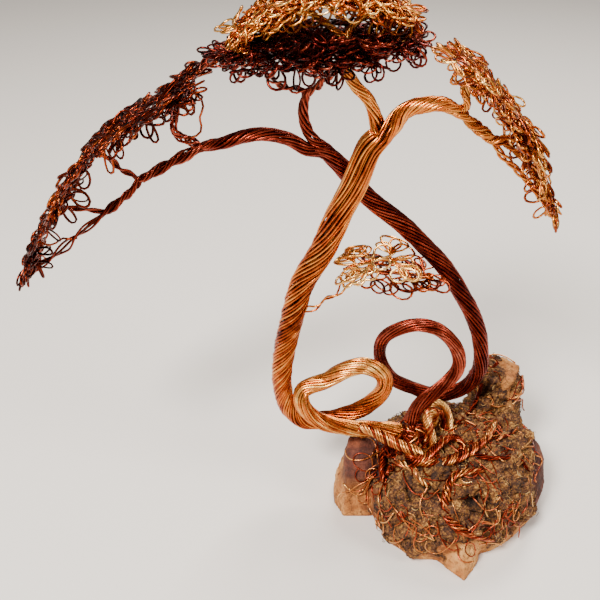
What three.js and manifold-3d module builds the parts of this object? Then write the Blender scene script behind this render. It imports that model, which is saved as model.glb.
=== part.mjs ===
// A wire tree sculpture: two small trees of twisted copper wire, one bright and one dark, that cross
// each other and grow out of one knot on a gnarled wood burl.
// Millimetres, +Z up, -Y to the front. The origin is on the burl's flat underside, below its main mass.
import * as THREE from "three";
import { mergeVertices } from "three/addons/utils/BufferGeometryUtils.js";
import Module from "manifold-3d";

const wasm = await Module();
wasm.setup();

// ---- driving dimensions ----
const CLEARANCE = 0.3; // between pieces that touch
const WELD = 1e-3; // corners closer than this are one
const SHORTEST_EDGE = 0.04;

const BUNDLE = { sides: 8, groove: 0.84, step: 5.4 }; // sides, depth of the valleys as a share, facet length
const BRANCH = { sides: 6, groove: 1, step: 6 };
const ROPE = { sides: 4, groove: 1, step: 6 };
const THIN_ROPE = { sides: 3, groove: 1, step: 7 };
const TWIG = { sides: 3, groove: 1, step: 8 };
const THIN_ROPE_BELOW = 1.5; // a root that starts with less radius than this is a thin rope
const ROOT_LIFT = 0.4; // between a root's underside and the burl
const TWIG_RADIUS = 0.9;

const LOOP_WIRE = 1.3; // one fused wire of a leaf loop
const LOOP_SIDES = 3;
const LOOP_FACETS = 5;
// A leaf loop, as places along and across it.
const LOOP_BENDS = [[0.24, -0.07], [0.78, -0.33], [1, 0], [0.78, 0.33], [0.24, 0.07]];
const FAN = [-1.15, 0, 1.15]; // turn of each loop of a spray, in radians
const FAN_SCATTER = 0.15; // how much each of those turns varies
const LOOP_LENGTH = [0.85, 1.15]; // shortest and longest loop, as shares of the spray's size
const LOOP_RISE = 0.35; // how far a loop rises or falls out of its pad, as a share of the spray's size
const FIRST_SPRAY = 0.6; // place of the first spray, as a share of the gap between sprays
const SPRAY_LEAN = [-0.36, 0.54]; // how far a spray leans back or ahead along its rib
const SHORTEST_STALK = 3;
const SPRAY_REACH = 0.7; // how far a spray reaches past its stalk, as a share of its size
const STALK_OVERLAP = 0.35; // how far a stalk runs into its rib, as a share of the rib's radius

const MOSS_THICKNESS = 2.2;
const CRAG_PHASE = 1.7; // shift of the crags from one mass of the burl to the next
const MOSS_PHASE = 4; // shift of the crags on the edge of the moss

const COPPER_BRIGHT = new THREE.MeshStandardMaterial({ color: 0xc8743c, metalness: 1, roughness: 0.32 });
const COPPER_DARK = new THREE.MeshStandardMaterial({ color: 0x6e2418, metalness: 1, roughness: 0.36 });
const BURL_WOOD = new THREE.MeshStandardMaterial({ color: 0xa87838, metalness: 0, roughness: 0.85 });
const DRY_MOSS = new THREE.MeshStandardMaterial({ color: 0x4a3a1e, metalness: 0, roughness: 1 });

// ---- the two trunks ----
// A route runs from the roots up, and the radii are evenly spaced along it.
const BRIGHT_TRUNK = {
  radii: [3.2, 3.2, 3.3, 3.5, 4.2, 4.6, 4.2], turns: 6,
  route: [
    [-21, -4, 35], [-30, -5, 37], [-43, -5, 38], [-54, -4, 41], [-60, -3, 48], [-60, -1, 53], [-51, 0, 57],
    [-44, 0, 62], [-37, 0, 64], [-30, 1, 60], [-28, 2, 53], [-31, 3, 46], [-38, 4, 39], [-48, 4, 35],
    [-59, 4, 34], [-65, 4, 40], [-68, 3, 52], [-67, 2, 69], [-64, 1, 85], [-60, 0, 101], [-53, -1, 115],
    [-48, -3, 129], [-43, -4, 141], [-39, -4, 153], [-35, -4, 158],
  ],
};
const DARK_TRUNK = {
  radii: [2.9, 2.5, 2.4, 2.9, 3.1, 3.2, 3.0], turns: 7,
  route: [
    [-18, -3, 39], [-15, -2, 46], [-10, -2, 52], [-4, -1, 58], [-1, 0, 63], [-1, 1, 68], [-4, 2, 74],
    [-10, 3, 79], [-17, 4, 80], [-23, 5, 78], [-29, 6, 73], [-30, 8, 63], [-25, 9, 52], [-15, 9, 46],
    [-5, 9, 43], [5, 8, 48], [9, 7, 57], [8, 6, 70], [4, 6, 82], [-3, 5, 95], [-9, 5, 104], [-16, 5, 112],
    [-26, 5, 122], [-37, 5, 131], [-46, 4, 142], [-53, 4, 149],
  ],
};

// ---- branches: where the bundle of a trunk parts ----
const BRANCHES = {
  bright_upper_branch: {
    material: COPPER_BRIGHT, radii: [2.1, 2, 1.6, 1],
    route: [[-36.5, -4, 161], [-40, -4, 169], [-44, -3, 173], [-47, -2, 178], [-47, -1, 185], [-49, 0, 192]],
  },
  bright_right_branch: {
    material: COPPER_BRIGHT, radii: [2.4, 2.5, 2.2, 1.2],
    route: [
      [-32, -4, 161], [-28, -5, 166], [-22, -6, 168], [-17, -6, 168], [-12, -6, 166], [-9, -6, 163],
      [-5, -6, 160], [1, -6, 156], [7, -6, 151],
    ],
  },
  dark_upper_branch: {
    material: COPPER_DARK, radii: [2, 1.9, 1.8, 1.4],
    route: [[-56, 4.5, 152], [-59, 4, 157], [-60, 4, 163], [-59, 4, 169], [-57, 3, 174]],
  },
  dark_left_branch: {
    material: COPPER_DARK, radii: [2.1, 2.2, 2.1, 1.6, 1.4, 1],
    route: [
      [-59, 3, 150], [-64, 3, 153], [-71, 3, 155], [-78, 2, 155], [-85, 1, 153], [-96, 0, 150],
      [-106, -1, 145], [-116, -2, 138], [-126, -3, 130], [-137, -3, 121], [-146, -3, 113],
    ],
  },
};

// ---- roots ----
// Those that lie on the burl are settled on its surface, and the others stand clear of it.
const ROOTS = {
  bright_band: {
    radii: [3, 2.6, 2.2, 1.6],
    path: [[-20, -4, 35], [-15, -3, 35], [-11, -6, 35], [-12, -11, 33]],
  },
  bright_rope: {
    radii: [1.7, 2, 1.8],
    path: [[-31, -1, 33], [-27, -4, 33], [-22, -9, 35], [-17, -14, 36], [-12, -17, 35]],
  },
  high_arch: {
    radii: [1.9, 1.9],
    path: [[-10, -11, 33], [-10, -9, 40], [-9, -5, 44], [-8, -2, 42], [-8, 0, 33]],
  },
  low_arch: {
    radii: [1.8, 1.8],
    path: [[-16, -6, 37], [-13, -3, 42], [-7, -3, 43], [-4, -4, 38], [-3, -6, 32]],
  },
  dark_rope: {
    radii: [2.4, 2, 1.7, 1.5],
    path: [[-18, -4, 38], [-19, -8, 34], [-19, -14, 32], [-16, -19, 32], [-9, -16, 35], [-3, -11, 34]],
  },
  right_rope: {
    radii: [1.9, 1.9, 1.6, 1.1], onBurl: true,
    path: [[-16, -19, 33], [-6, -21, 33], [3, -16, 35], [9, -10, 36], [15, -8, 35], [22, -2, 34]],
  },
  left_claw: {
    radii: [2, 1.8, 1.1], onBurl: true,
    path: [[-26, -3, 32], [-26, -9, 30], [-27, -15, 26], [-28, -20, 22]],
  },
  front_rope: {
    radii: [1.5, 1.1, 0.8], onBurl: true,
    path: [[-6, -21, 33], [-5, -27, 31], [-7, -32, 27], [-5, -36, 23], [1, -38, 19], [9, -37, 16]],
  },
  middle_rope: {
    radii: [1.5, 1.2, 0.8], onBurl: true,
    path: [[-27, -12, 28], [-21, -18, 30], [-17, -24, 29], [-13, -30, 26], [-12, -35, 21]],
  },
  low_wire: {
    radii: [0.9, 0.7], onBurl: true,
    path: [[-27, -16, 25], [-25, -26, 20], [-19, -34, 15], [-12, -37, 11]],
  },
  right_wire: {
    radii: [1.1, 0.7], onBurl: true,
    path: [[3, -16, 35], [12, -18, 34], [22, -15, 32], [27, -19, 28]],
  },
  knob_wire: {
    radii: [1.2, 0.7], onBurl: true,
    path: [[-4, -4, 35], [5, 5, 34], [11, 13, 36], [15, 18, 45], [20, 21, 50]],
  },
};

// ---- foliage pads ----
// A pad hangs on its rib. half gives its reach in depth along the rib, and stem is how its wires come up
// from the branch.
const PADS = {
  dark_left_upper_leaves: {
    rib: [[-93, 0, 175], [-100, 0, 171], [-107, -1, 167], [-113, -1, 162]],
    stem: [[-97, 0, 154], [-101, -1, 158], [-100, 0, 163], [-100, 0, 171]],
    half: [14, 17, 17], sprays: 3, size: 13, seed: 6, material: COPPER_DARK,
  },
  dark_left_middle_leaves: {
    rib: [[-122, -1, 157], [-128, -2, 152], [-134, -2, 145], [-137, -3, 140]],
    stem: [[-113, -2, 144], [-119, -2, 146], [-128, -2, 152]],
    half: [16, 17, 15], sprays: 3, size: 13, seed: 11, material: COPPER_DARK,
  },
  dark_left_lower_leaves: {
    rib: [[-144, -3, 130], [-147, -3, 126], [-152, -3, 117], [-156, -3, 107]],
    stem: [[-134, -3, 127], [-140, -3, 127], [-147, -3, 126]],
    half: [15, 12, 8], sprays: 3, size: 12, seed: 8, material: COPPER_DARK,
  },
  dark_top_leaves: {
    rib: [[-80, 1, 181], [-71, 2, 181], [-60, 2, 180], [-50, 5, 180], [-40, 5, 182], [-31, 4, 184]],
    stem: [[-57, 3, 176], [-56, 3, 180]],
    half: [18, 24, 26, 24, 18], sprays: 5, size: 15, seed: 11, material: COPPER_DARK,
  },
  bright_top_leaves: {
    rib: [[-78, 0, 190], [-70, 0, 195], [-60, 0, 199], [-49, 0, 200], [-38, 0, 198], [-28, 0, 193]],
    stem: [[-49, 0, 194], [-49, 0, 200]],
    half: [16, 22, 24, 22, 16], sprays: 5, size: 15, seed: 14, material: COPPER_BRIGHT,
  },
  bright_right_leaves: {
    rib: [
      [-18, -4, 186], [-10, -4, 181], [0, -5, 173], [8, -6, 162], [14, -6, 151], [20, -6, 140], [23, -6, 132],
    ],
    stem: [[-10, -6, 168.4], [-11, -6, 173], [-9, -4, 180]],
    half: [16, 19, 18, 16, 13, 9, 6], sprays: 6, size: 14, seed: 13, material: COPPER_BRIGHT,
  },
  dark_inner_leaves: {
    rib: [[-13, 4, 101], [-22, 4, 102], [-32, 4, 103], [-41, 3, 104]],
    half: [11, 14, 14], sprays: 3, size: 11, seed: 1, material: COPPER_DARK,
  },
  bright_inner_leaves: {
    rib: [[-46, -5, 109], [-36, -4, 112], [-26, -3, 112]],
    stem: [[-58, -5, 90], [-50, -5, 97], [-43, -5, 109]],
    half: [12, 14], sprays: 2, size: 11, seed: 23, material: COPPER_BRIGHT,
  },
};

// ---- the burl and its moss ----
// Each rounded mass of the burl stands on its centre. The profile runs from the middle of the bottom to
// the middle of the top, as shares of the radius and heights; radii go round it from the right, backwards.
const MASSES = {
  heart: {
    centre: [4, -3], sides: 22, crag: 2.6,
    radii: [35, 38, 37, 35, 34, 35, 35, 36, 37, 38, 37.5, 43, 42, 37.5, 34, 31.5, 31, 31.5],
    profile: [
      [0, -5], [0.9, -5], [1, 5], [1.01, 12], [0.96, 19], [0.84, 25], [0.64, 29], [0.36, 31.5], [0, 32],
    ],
  },
  knob: {
    centre: [22, 23], sides: 12, crag: 1.8,
    radii: [10, 11.5, 10.5, 12, 11, 11.5, 9.5, 10.5],
    profile: [[0, -5], [1.2, -5], [1.3, 10], [1.15, 21], [1, 31], [1, 39], [0.82, 45.5], [0.4, 47], [0, 45]],
  },
  foot: {
    centre: [-36, -2], sides: 12, crag: 1,
    radii: [12, 12, 13, 14, 13, 12, 11, 12.5, 15.5, 13.5, 15, 12],
    profile: [[0, -4], [1.02, -4], [1, 3], [0.85, 12], [0.7, 21], [0.5, 28], [0, 31]],
  },
  tip: {
    centre: [0, -35], sides: 16, crag: 0.5,
    radii: [8, 8, 8, 8, 8, 8, 8.5, 9.5, 8.5, 13, 8.5, 8],
    profile: [[0, -3], [1, -3], [1, 2], [0.9, 6], [0.6, 9.5], [0, 11]],
  },
};
const MOSS_PATCH = {
  centre: [6, -5], sides: 18, crag: 1.5,
  radii: [23.5, 26.5, 26, 22, 24, 30, 32, 30, 28, 27, 27, 24.5],
  profile: [[0, 14], [0.9, 15], [1.05, 24], [1, 33], [0.6, 40], [0, 41]],
};

// ---- small helpers ----
const point = ([x, y, z]) => new THREE.Vector3(x, y, z);
const curve = (list) => new THREE.CatmullRomCurve3(list.map(point), false, "centripetal");

// A repeatable stream of numbers from 0 to 1.
function dice(seed) {
  let state = seed;
  return () => {
    state = (state * 1664525 + 1013904223) % 4294967296;
    return state / 4294967296;
  };
}

// The value at a share, 0 to 1, of a list whose entries are evenly spaced.
function between(list, share) {
  const at = share * (list.length - 1);
  const low = Math.min(Math.floor(at), list.length - 2);
  return THREE.MathUtils.lerp(list[low], list[low + 1], at - low);
}

function solid(geometry) {
  const bare = geometry.clone();
  bare.deleteAttribute("normal");
  bare.deleteAttribute("uv");
  const merged = mergeVertices(bare, WELD);
  const corners = merged.index.array;
  const faces = [];
  for (let i = 0; i < corners.length; i += 3) {
    const [a, b, c] = corners.slice(i, i + 3);
    if (a !== b && b !== c && c !== a) faces.push(a, b, c);
  }
  return new wasm.Manifold(new wasm.Mesh({
    numProp: 3,
    vertProperties: merged.attributes.position.array,
    triVerts: new Uint32Array(faces),
  }));
}

const joined = (solids) => solids.reduce((sum, next) => sum.add(next));

// The main body of a solid, without stray chips and without edges too short to matter.
function largest(body) {
  return body.decompose().sort((a, b) => b.volume() - a.volume())[0].asOriginal().simplify(SHORTEST_EDGE);
}

function mesh(name, body, material) {
  const made = body.getMesh();
  const geometry = new THREE.BufferGeometry();
  geometry.setAttribute("position", new THREE.BufferAttribute(made.vertProperties, 3));
  geometry.setIndex(new THREE.BufferAttribute(made.triVerts, 1));
  geometry.computeVertexNormals();
  const shown = new THREE.Mesh(geometry, material);
  shown.name = name;
  return shown;
}

// ---- twisted bundles: trunks, branches, twigs and roots ----
function section(sides, groove) {
  const outline = new THREE.Shape();
  for (let i = 0; i < sides; i++) {
    const angle = (i / sides) * 2 * Math.PI;
    const radius = i % 2 ? groove : 1;
    const corner = [radius * Math.cos(angle), radius * Math.sin(angle)];
    if (i) outline.lineTo(...corner);
    else outline.moveTo(...corner);
  }
  return outline;
}

// A straight fluted rod, bent along the route, twisted, and scaled to the radii given along it.
function bundle(route, radii, { sides, groove, step }, turns = 0) {
  const steps = Math.max(1, Math.round(route.getLength() / step));
  const rod = new THREE.ExtrudeGeometry(section(sides, groove), { depth: 1, steps, bevelEnabled: false });
  const places = route.getSpacedPoints(steps);
  const { normals, binormals } = route.computeFrenetFrames(steps);
  const corners = rod.attributes.position;
  const corner = new THREE.Vector3();
  for (let i = 0; i < corners.count; i++) {
    const station = Math.round(corners.getZ(i) * steps);
    const share = station / steps;
    const radius = between(radii, share);
    const angle = 2 * Math.PI * turns * share;
    const across = corners.getX(i) * Math.cos(angle) - corners.getY(i) * Math.sin(angle);
    const up = corners.getX(i) * Math.sin(angle) + corners.getY(i) * Math.cos(angle);
    corner.copy(places[station]);
    corner.addScaledVector(normals[station], radius * across);
    corner.addScaledVector(binormals[station], radius * up);
    corners.setXYZ(i, corner.x, corner.y, corner.z);
  }
  return solid(rod);
}

function twig(list) {
  return bundle(curve(list), [TWIG_RADIUS, TWIG_RADIUS], TWIG);
}

// ---- how the burl and its moss are shaped ----
// Uneven bulges and hollows, from -1 to 1, over the burl: broad ones of about 40 mm and finer ones of 20 mm.
function crags(x, y, z, phase) {
  const broad = Math.sin(x / 6 + 2 * Math.sin(y / 9 + phase)) * Math.cos(z / 7 - y / 11 + phase);
  const fine = Math.sin(y / 3.5 + 2 * Math.sin(x / 4 - phase)) * Math.cos(z / 3 + 2 * phase);
  return 0.6 * broad + 0.4 * fine;
}

// Pushes every corner out along its normal by the growth and by the crags.
function swollen(geometry, crag, phase, growth) {
  geometry.deleteAttribute("normal");
  geometry.deleteAttribute("uv");
  const merged = mergeVertices(geometry, WELD);
  merged.computeVertexNormals();
  const corners = merged.attributes.position;
  const normal = new THREE.Vector3();
  const corner = new THREE.Vector3();
  for (let i = 0; i < corners.count; i++) {
    corner.fromBufferAttribute(corners, i);
    normal.fromBufferAttribute(merged.attributes.normal, i);
    corner.addScaledVector(normal, growth + crag * crags(corner.x, corner.y, corner.z, phase));
    corners.setXYZ(i, corner.x, corner.y, corner.z);
  }
  return solid(merged);
}

function mass({ centre, profile, radii, sides, crag }, phase, growth = 0) {
  const outline = profile.map(([share, height]) => new THREE.Vector2(share, height));
  const geometry = new THREE.LatheGeometry(outline, sides).rotateX(Math.PI / 2);
  const corners = geometry.attributes.position;
  const around = [...radii, radii[0]];
  for (let i = 0; i < corners.count; i++) {
    const turn = Math.atan2(corners.getY(i), corners.getX(i)) / (2 * Math.PI);
    const radius = between(around, (turn + 1) % 1);
    corners.setX(i, centre[0] + radius * corners.getX(i));
    corners.setY(i, centre[1] + radius * corners.getY(i));
  }
  return swollen(geometry, crag, phase, growth);
}

function burl(growth = 0) {
  const parts = Object.values(MASSES).map((form, i) => mass(form, CRAG_PHASE * i, growth));
  return joined(parts).trimByPlane([0, 0, 1], 0);
}

function moss() {
  const grown = burl(MOSS_THICKNESS).intersect(mass(MOSS_PATCH, MOSS_PHASE));
  return largest(grown.subtract(burl(CLEARANCE)));
}

// ---- leaf loops ----
// One wire bent into leaf loops, fanned round the end of a short side twig, back to where it started.
function spray(root, outward, facing, size, roll) {
  const bends = [];
  for (const turn of FAN) {
    const along = outward.clone().applyAxisAngle(facing, turn + FAN_SCATTER * (roll() - 0.5));
    const across = new THREE.Vector3().crossVectors(facing, along);
    const length = size * THREE.MathUtils.lerp(...LOOP_LENGTH, roll());
    const rise = size * LOOP_RISE * (2 * roll() - 1);
    for (const [reach, side] of LOOP_BENDS) {
      const bend = root.clone().addScaledVector(along, reach * length).addScaledVector(across, side * length);
      bends.push(bend.addScaledVector(facing, reach * rise));
    }
  }
  const wire = new THREE.CatmullRomCurve3(bends, true, "centripetal");
  return solid(new THREE.TubeGeometry(wire, LOOP_FACETS * FAN.length, LOOP_WIRE / 2, LOOP_SIDES, true));
}

// A pad of foliage: a rib of twisted wire, with sprays of loops on short twigs to its back and front.
function pad({ rib, half, sprays, size, stem, seed }) {
  const spine = curve(rib);
  const roll = dice(seed);
  const depth = new THREE.Vector3(0, 1, 0);
  const pieces = [twig(rib)];
  if (stem) pieces.push(twig(stem));
  for (let i = 0; i < sprays; i++) {
    const share = (i + FIRST_SPRAY) / sprays;
    const along = spine.getTangentAt(share);
    const facing = new THREE.Vector3().crossVectors(along, depth).normalize();
    const outward = depth.clone().multiplyScalar(i % 2 ? 1 : -1);
    outward.addScaledVector(along, THREE.MathUtils.lerp(...SPRAY_LEAN, roll())).normalize();
    const start = spine.getPointAt(share).addScaledVector(outward, -STALK_OVERLAP * TWIG_RADIUS);
    const reach = Math.max(SHORTEST_STALK, between(half, share) - SPRAY_REACH * size);
    const root = start.clone().addScaledVector(outward, reach);
    const stalk = [start, root.clone().addScaledVector(outward, LOOP_WIRE)];
    pieces.push(twig(stalk.map((end) => end.toArray())));
    pieces.push(spray(root, outward, facing, size, roll));
  }
  return joined(pieces);
}

// ---- how the roots are laid ----
// The nearest point of the surface, lifted off it.
function settle(spot, surface, lift) {
  const face = new THREE.Triangle();
  const nearest = new THREE.Vector3();
  const corners = surface.attributes.position;
  const index = surface.index.array;
  let best = Infinity;
  const found = spot.clone();
  for (let i = 0; i < index.length; i += 3) {
    face.setFromAttributeAndIndices(corners, index[i], index[i + 1], index[i + 2]);
    face.closestPointToPoint(spot, nearest);
    const away = nearest.distanceTo(spot);
    if (away < best) {
      best = away;
      found.copy(nearest).addScaledVector(face.getNormal(new THREE.Vector3()), lift);
    }
  }
  return found;
}

function root({ path, radii, onBurl }, surface) {
  const form = radii[0] < THIN_ROPE_BELOW ? THIN_ROPE : ROPE;
  const route = curve(path);
  if (!onBurl) return bundle(route, radii, form);
  const places = route.getSpacedPoints(Math.round(route.getLength() / ROPE.step));
  const settled = places.map((spot, i) => {
    const radius = between(radii, i / (places.length - 1));
    return settle(spot, surface, ROOT_LIFT + radius);
  });
  return bundle(new THREE.CatmullRomCurve3(settled), radii, form);
}

// The part of a trunk that the roots must keep clear of, past its lower end too.
function keepClear({ route, radii }) {
  const [first, second] = route.map(point);
  const before = first.clone().sub(second).setLength(CLEARANCE).add(first);
  const grown = radii.map((radius) => radius + CLEARANCE);
  return bundle(curve([before.toArray(), ...route]), grown, { ...BUNDLE, groove: 1 });
}

// All the ropes as one knotted body, cut clear of the burl, of the moss and of the two trunks.
function roots(ground) {
  const surface = mesh("surface", ground, BURL_WOOD).geometry;
  const ropes = joined(Object.values(ROOTS).map((rope) => root(rope, surface)));
  const aboveMoss = mass(MOSS_PATCH, MOSS_PHASE, CLEARANCE);
  const under = burl(CLEARANCE).add(burl(MOSS_THICKNESS + CLEARANCE).intersect(aboveMoss));
  const trunks = keepClear(BRIGHT_TRUNK).add(keepClear(DARK_TRUNK));
  return largest(ropes.subtract(under).subtract(trunks));
}

// ---- assembly ----
const base = burl();
const mat = moss();
const sculpture = new THREE.Group();
sculpture.add(mesh("burl_base", base, BURL_WOOD));
sculpture.add(mesh("moss_mat", mat, DRY_MOSS));
sculpture.add(mesh("wire_roots", roots(base.add(mat)), COPPER_BRIGHT));
for (const [name, trunk, material] of [
  ["bright_trunk", BRIGHT_TRUNK, COPPER_BRIGHT],
  ["dark_trunk", DARK_TRUNK, COPPER_DARK],
]) {
  sculpture.add(mesh(name, bundle(curve(trunk.route), trunk.radii, BUNDLE, trunk.turns), material));
}
for (const [name, branch] of Object.entries(BRANCHES)) {
  sculpture.add(mesh(name, bundle(curve(branch.route), branch.radii, BRANCH), branch.material));
}
for (const [name, leaves] of Object.entries(PADS)) {
  sculpture.add(mesh(name, largest(pad(leaves)), leaves.material));
}

export default sculpture;
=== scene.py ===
# %% [markdown]
# # A tree of twisted copper wire on a piece of burl
# The real thing is a table sculpture about 20 cm high. Two trunks of copper wire, one
# bright and one brown, stand twisted round each other on a lump of burl wood, each with
# one loop at its foot. Above they open into branches, and the branches into hundreds of
# small wire loops, which are the leaves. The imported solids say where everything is.

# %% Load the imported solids
import math

import bpy
import numpy as np
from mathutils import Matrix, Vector, noise
from mathutils.bvhtree import BVHTree


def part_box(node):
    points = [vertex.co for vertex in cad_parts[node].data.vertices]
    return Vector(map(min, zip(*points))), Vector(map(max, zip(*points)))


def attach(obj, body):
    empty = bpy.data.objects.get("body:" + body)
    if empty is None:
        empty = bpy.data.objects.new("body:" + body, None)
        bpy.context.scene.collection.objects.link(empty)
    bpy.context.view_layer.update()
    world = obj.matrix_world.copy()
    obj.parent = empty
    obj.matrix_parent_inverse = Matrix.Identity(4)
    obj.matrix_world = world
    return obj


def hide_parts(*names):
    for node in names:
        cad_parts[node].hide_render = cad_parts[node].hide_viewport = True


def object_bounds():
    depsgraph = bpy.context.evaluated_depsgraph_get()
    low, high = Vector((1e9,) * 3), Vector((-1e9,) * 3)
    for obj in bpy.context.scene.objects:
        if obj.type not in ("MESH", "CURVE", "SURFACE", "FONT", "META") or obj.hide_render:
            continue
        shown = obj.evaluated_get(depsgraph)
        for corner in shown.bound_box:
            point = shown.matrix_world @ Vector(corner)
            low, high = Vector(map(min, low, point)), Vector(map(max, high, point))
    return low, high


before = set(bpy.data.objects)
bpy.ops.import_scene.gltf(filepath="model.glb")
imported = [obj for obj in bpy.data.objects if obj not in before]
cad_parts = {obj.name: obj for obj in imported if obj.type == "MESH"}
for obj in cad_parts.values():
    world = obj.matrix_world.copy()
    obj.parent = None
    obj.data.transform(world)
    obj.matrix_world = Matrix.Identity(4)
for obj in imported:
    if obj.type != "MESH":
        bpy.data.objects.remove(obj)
solid_low, solid_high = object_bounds()
print("solids:", len(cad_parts), "from", solid_low[:], "to", solid_high[:])

# %% [markdown]
# ## Working values
# Everything is measured in millimetres, as on the bench, and turned to metres only when a
# mesh is made. The wires are drawn copper: 0.92 mm in the bright trunk, 0.86 mm in the brown
# one, 0.78 mm in the leaves and 0.84 mm in the roots. STEP is the spacing of the rings of
# points along a wire.

# %% Sizes shared by all pieces
MM = 0.001
BRIGHT_WIRE = 0.92
BROWN_WIRE = 0.86
LEAF_WIRE = 0.78
ROOT_WIRE = 0.84
STEP = 1.2
LOW = np.array(solid_low) / MM
HIGH = np.array(solid_high) / MM


def unit(vector):
    """The same direction with a length of one."""
    vector = np.asarray(vector, float)
    return vector / max(np.linalg.norm(vector), 1e-9)


def between(values, share):
    """The value at a share of the way through an evenly spaced list."""
    return np.interp(share, np.linspace(0, 1, len(values)), values)


print("object box in mm:", LOW.round(1), HIGH.round(1))

# %% [markdown]
# ## Camera
# The sculpture is looked down on from about 32 degrees, from a quarter of a metre away and
# a little to the left of the base, so the near loops look larger than the far ones.

# %% Place the camera
bpy.ops.object.select_all(action="DESELECT")
bpy.ops.object.camera_add(location=(-0.061, -0.252, 0.251), rotation=(math.radians(58), 0, 0))
camera = bpy.context.object
camera.data.sensor_width = 36
camera.data.lens = 49.45
bpy.context.scene.camera = camera
print("camera at", camera.location[:])

# %% [markdown]
# ## Colours and nodes
# Colours are picked as sRGB hex values, and Blender mixes light in linear values, so one
# function turns the first into the second. A second function adds one node to a material,
# with its settings, its inputs and its links.

# %% Two helpers for materials


def linear(hex_colour):
    """An sRGB hex colour as the linear colour that a shader socket takes."""
    parts = [int(hex_colour[i : i + 2], 16) / 255 for i in (1, 3, 5)]
    return (*[p / 12.92 if p < 0.04045 else ((p + 0.055) / 1.055) ** 2.4 for p in parts], 1)


def add(material, kind, inputs=None, stops=None, **settings):
    """Adds a node. An input is a value or another node's output, stops are those of a ramp."""
    made = material.node_tree.nodes.new(kind)
    for name, value in settings.items():
        setattr(made, name, value)
    for i, (place, colour) in enumerate(stops or []):
        stop = made.color_ramp.elements[i] if i < 2 else made.color_ramp.elements.new(place)
        stop.position = place
        stop.color = linear(colour)
    for name, value in (inputs or {}).items():
        if isinstance(value, bpy.types.NodeSocket):
            material.node_tree.links.new(value, made.inputs[name])
        else:
            made.inputs[name].default_value = value
    return made


def empty_material(name):
    """A new material with only its output node."""
    made = bpy.data.materials.new(name)
    made.use_nodes = True
    for old in list(made.node_tree.nodes):
        if old.type == "BSDF_PRINCIPLED":
            made.node_tree.nodes.remove(old)
    return made


def surface(material, shader):
    """Joins a shader to the material's output."""
    output = next(n for n in material.node_tree.nodes if n.type == "OUTPUT_MATERIAL")
    material.node_tree.links.new(shader.outputs[0], output.inputs["Surface"])
    return material


print("deep copper red is", [round(c, 3) for c in linear("#8a3a1c")])

# %% [markdown]
# ## Drawn copper wire
# Copper wire is pulled through a die, so it is smooth and shiny with the faintest marks
# along it. Handling and age then tint it: the bright wire runs from pale gold to orange
# and red-brown. A wire deep in a bundle is painted darker than those around it, as painted
# shade. Each wire carries a tone of its own, and a value that says how deep in its bundle
# it lies, which sets that painted shade. Copper is a metal, so its colour is the colour of
# its reflections and its IOR stays as it is.

# %% Make the copper materials


def drawn_copper(name, colours, painted_shade_colour, roughness):
    """Drawn copper wire: colours run from tarnished to bright; the separate dark colour is painted shade
    for wires deep in a bundle.
    """
    made = empty_material(name)
    place = add(made, "ShaderNodeTexCoord").outputs["Object"]
    tone = add(made, "ShaderNodeAttribute", attribute_name="tone").outputs["Fac"]
    depth = add(made, "ShaderNodeAttribute", attribute_name="depth").outputs["Fac"]
    # tarnish comes in patches about 20 mm across, and in flecks about 3 mm across
    patches = add(made, "ShaderNodeTexNoise", {"Vector": place, "Scale": 50, "Detail": 3})
    flecks = add(made, "ShaderNodeTexNoise", {"Vector": place, "Scale": 330, "Detail": 2})
    mottle = add(made, "ShaderNodeMath", {0: patches.outputs["Fac"], 1: flecks.outputs["Fac"]})
    level = add(made, "ShaderNodeMath", {0: mottle.outputs[0], 1: 0.5, 2: -0.5}, operation="MULTIPLY_ADD")
    level = add(made, "ShaderNodeMath", {0: level.outputs[0], 1: 1.1, 2: tone}, operation="MULTIPLY_ADD")
    stops = [(0.12, colours[0]), (0.88, colours[-1])]
    stops += [(0.12 + 0.76 * i / (len(colours) - 1), colours[i]) for i in range(1, len(colours) - 1)]
    ramp = add(made, "ShaderNodeValToRGB", {"Fac": level.outputs[0]}, stops=stops)
    # painted shade: wires deep in a bundle are mixed toward a dark colour by their depth
    colour = add(
        made, "ShaderNodeMix", {"Factor": depth, 6: ramp.outputs["Color"], 7: linear(painted_shade_colour)},
        data_type="RGBA"
    )
    # dull spots about 1.5 mm across, as fingers leave them
    dull = add(made, "ShaderNodeTexNoise", {"Vector": place, "Scale": 650, "Detail": 2})
    rough = add(
        made,
        "ShaderNodeMapRange",
        {"Value": dull.outputs["Fac"], "From Min": 0.3, "From Max": 0.7, "To Min": roughness[0],
            "To Max": roughness[1]},
    )
    # die marks are far under 0.1 mm, drawn here at about 0.2 mm so that they show at all
    marks = add(made, "ShaderNodeTexNoise", {"Vector": place, "Scale": 4500, "Detail": 1})
    bump = add(made, "ShaderNodeBump", {"Height": marks.outputs["Fac"], "Strength": 0.12,
        "Distance": 0.0001})
    shader = add(
        made,
        "ShaderNodeBsdfPrincipled",
        {
            "Base Color": colour.outputs[2],
            "Metallic": 1.0,
            "Roughness": rough.outputs["Result"],
            "Normal": bump.outputs["Normal"],
        },
    )
    return surface(made, shader)


bright_copper = drawn_copper(
    "drawn_copper_bright", ["#5e1d0a", "#a2441a", "#cf722c", "#e89c4a", "#f6c878"], "#3a0f05", (0.20, 0.34)
)
brown_copper = drawn_copper(
    "drawn_copper_browned", ["#2c0906", "#54140d", "#7e2a1a", "#a64a34", "#c8725a"], "#180504", (0.20, 0.34)
)
leaf_bright_copper = drawn_copper(
    "drawn_copper_leaf_gold", ["#5e1d0a", "#a2441a", "#d27a2e", "#eca84e", "#f8cc80"], "#3a0f05",
    (0.20, 0.34)
)
leaf_brown_copper = drawn_copper(
    "drawn_copper_leaf_brown", ["#2c0a08", "#541410", "#7a2a1c", "#a04a30", "#c8785a"], "#180504",
    (0.20, 0.34)
)
leaf_red_copper = drawn_copper(
    "drawn_copper_leaf_red", ["#3a0e06", "#6e2210", "#a6441c", "#cc7030", "#e89c58"], "#200804",
    (0.20, 0.34)
)
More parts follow.
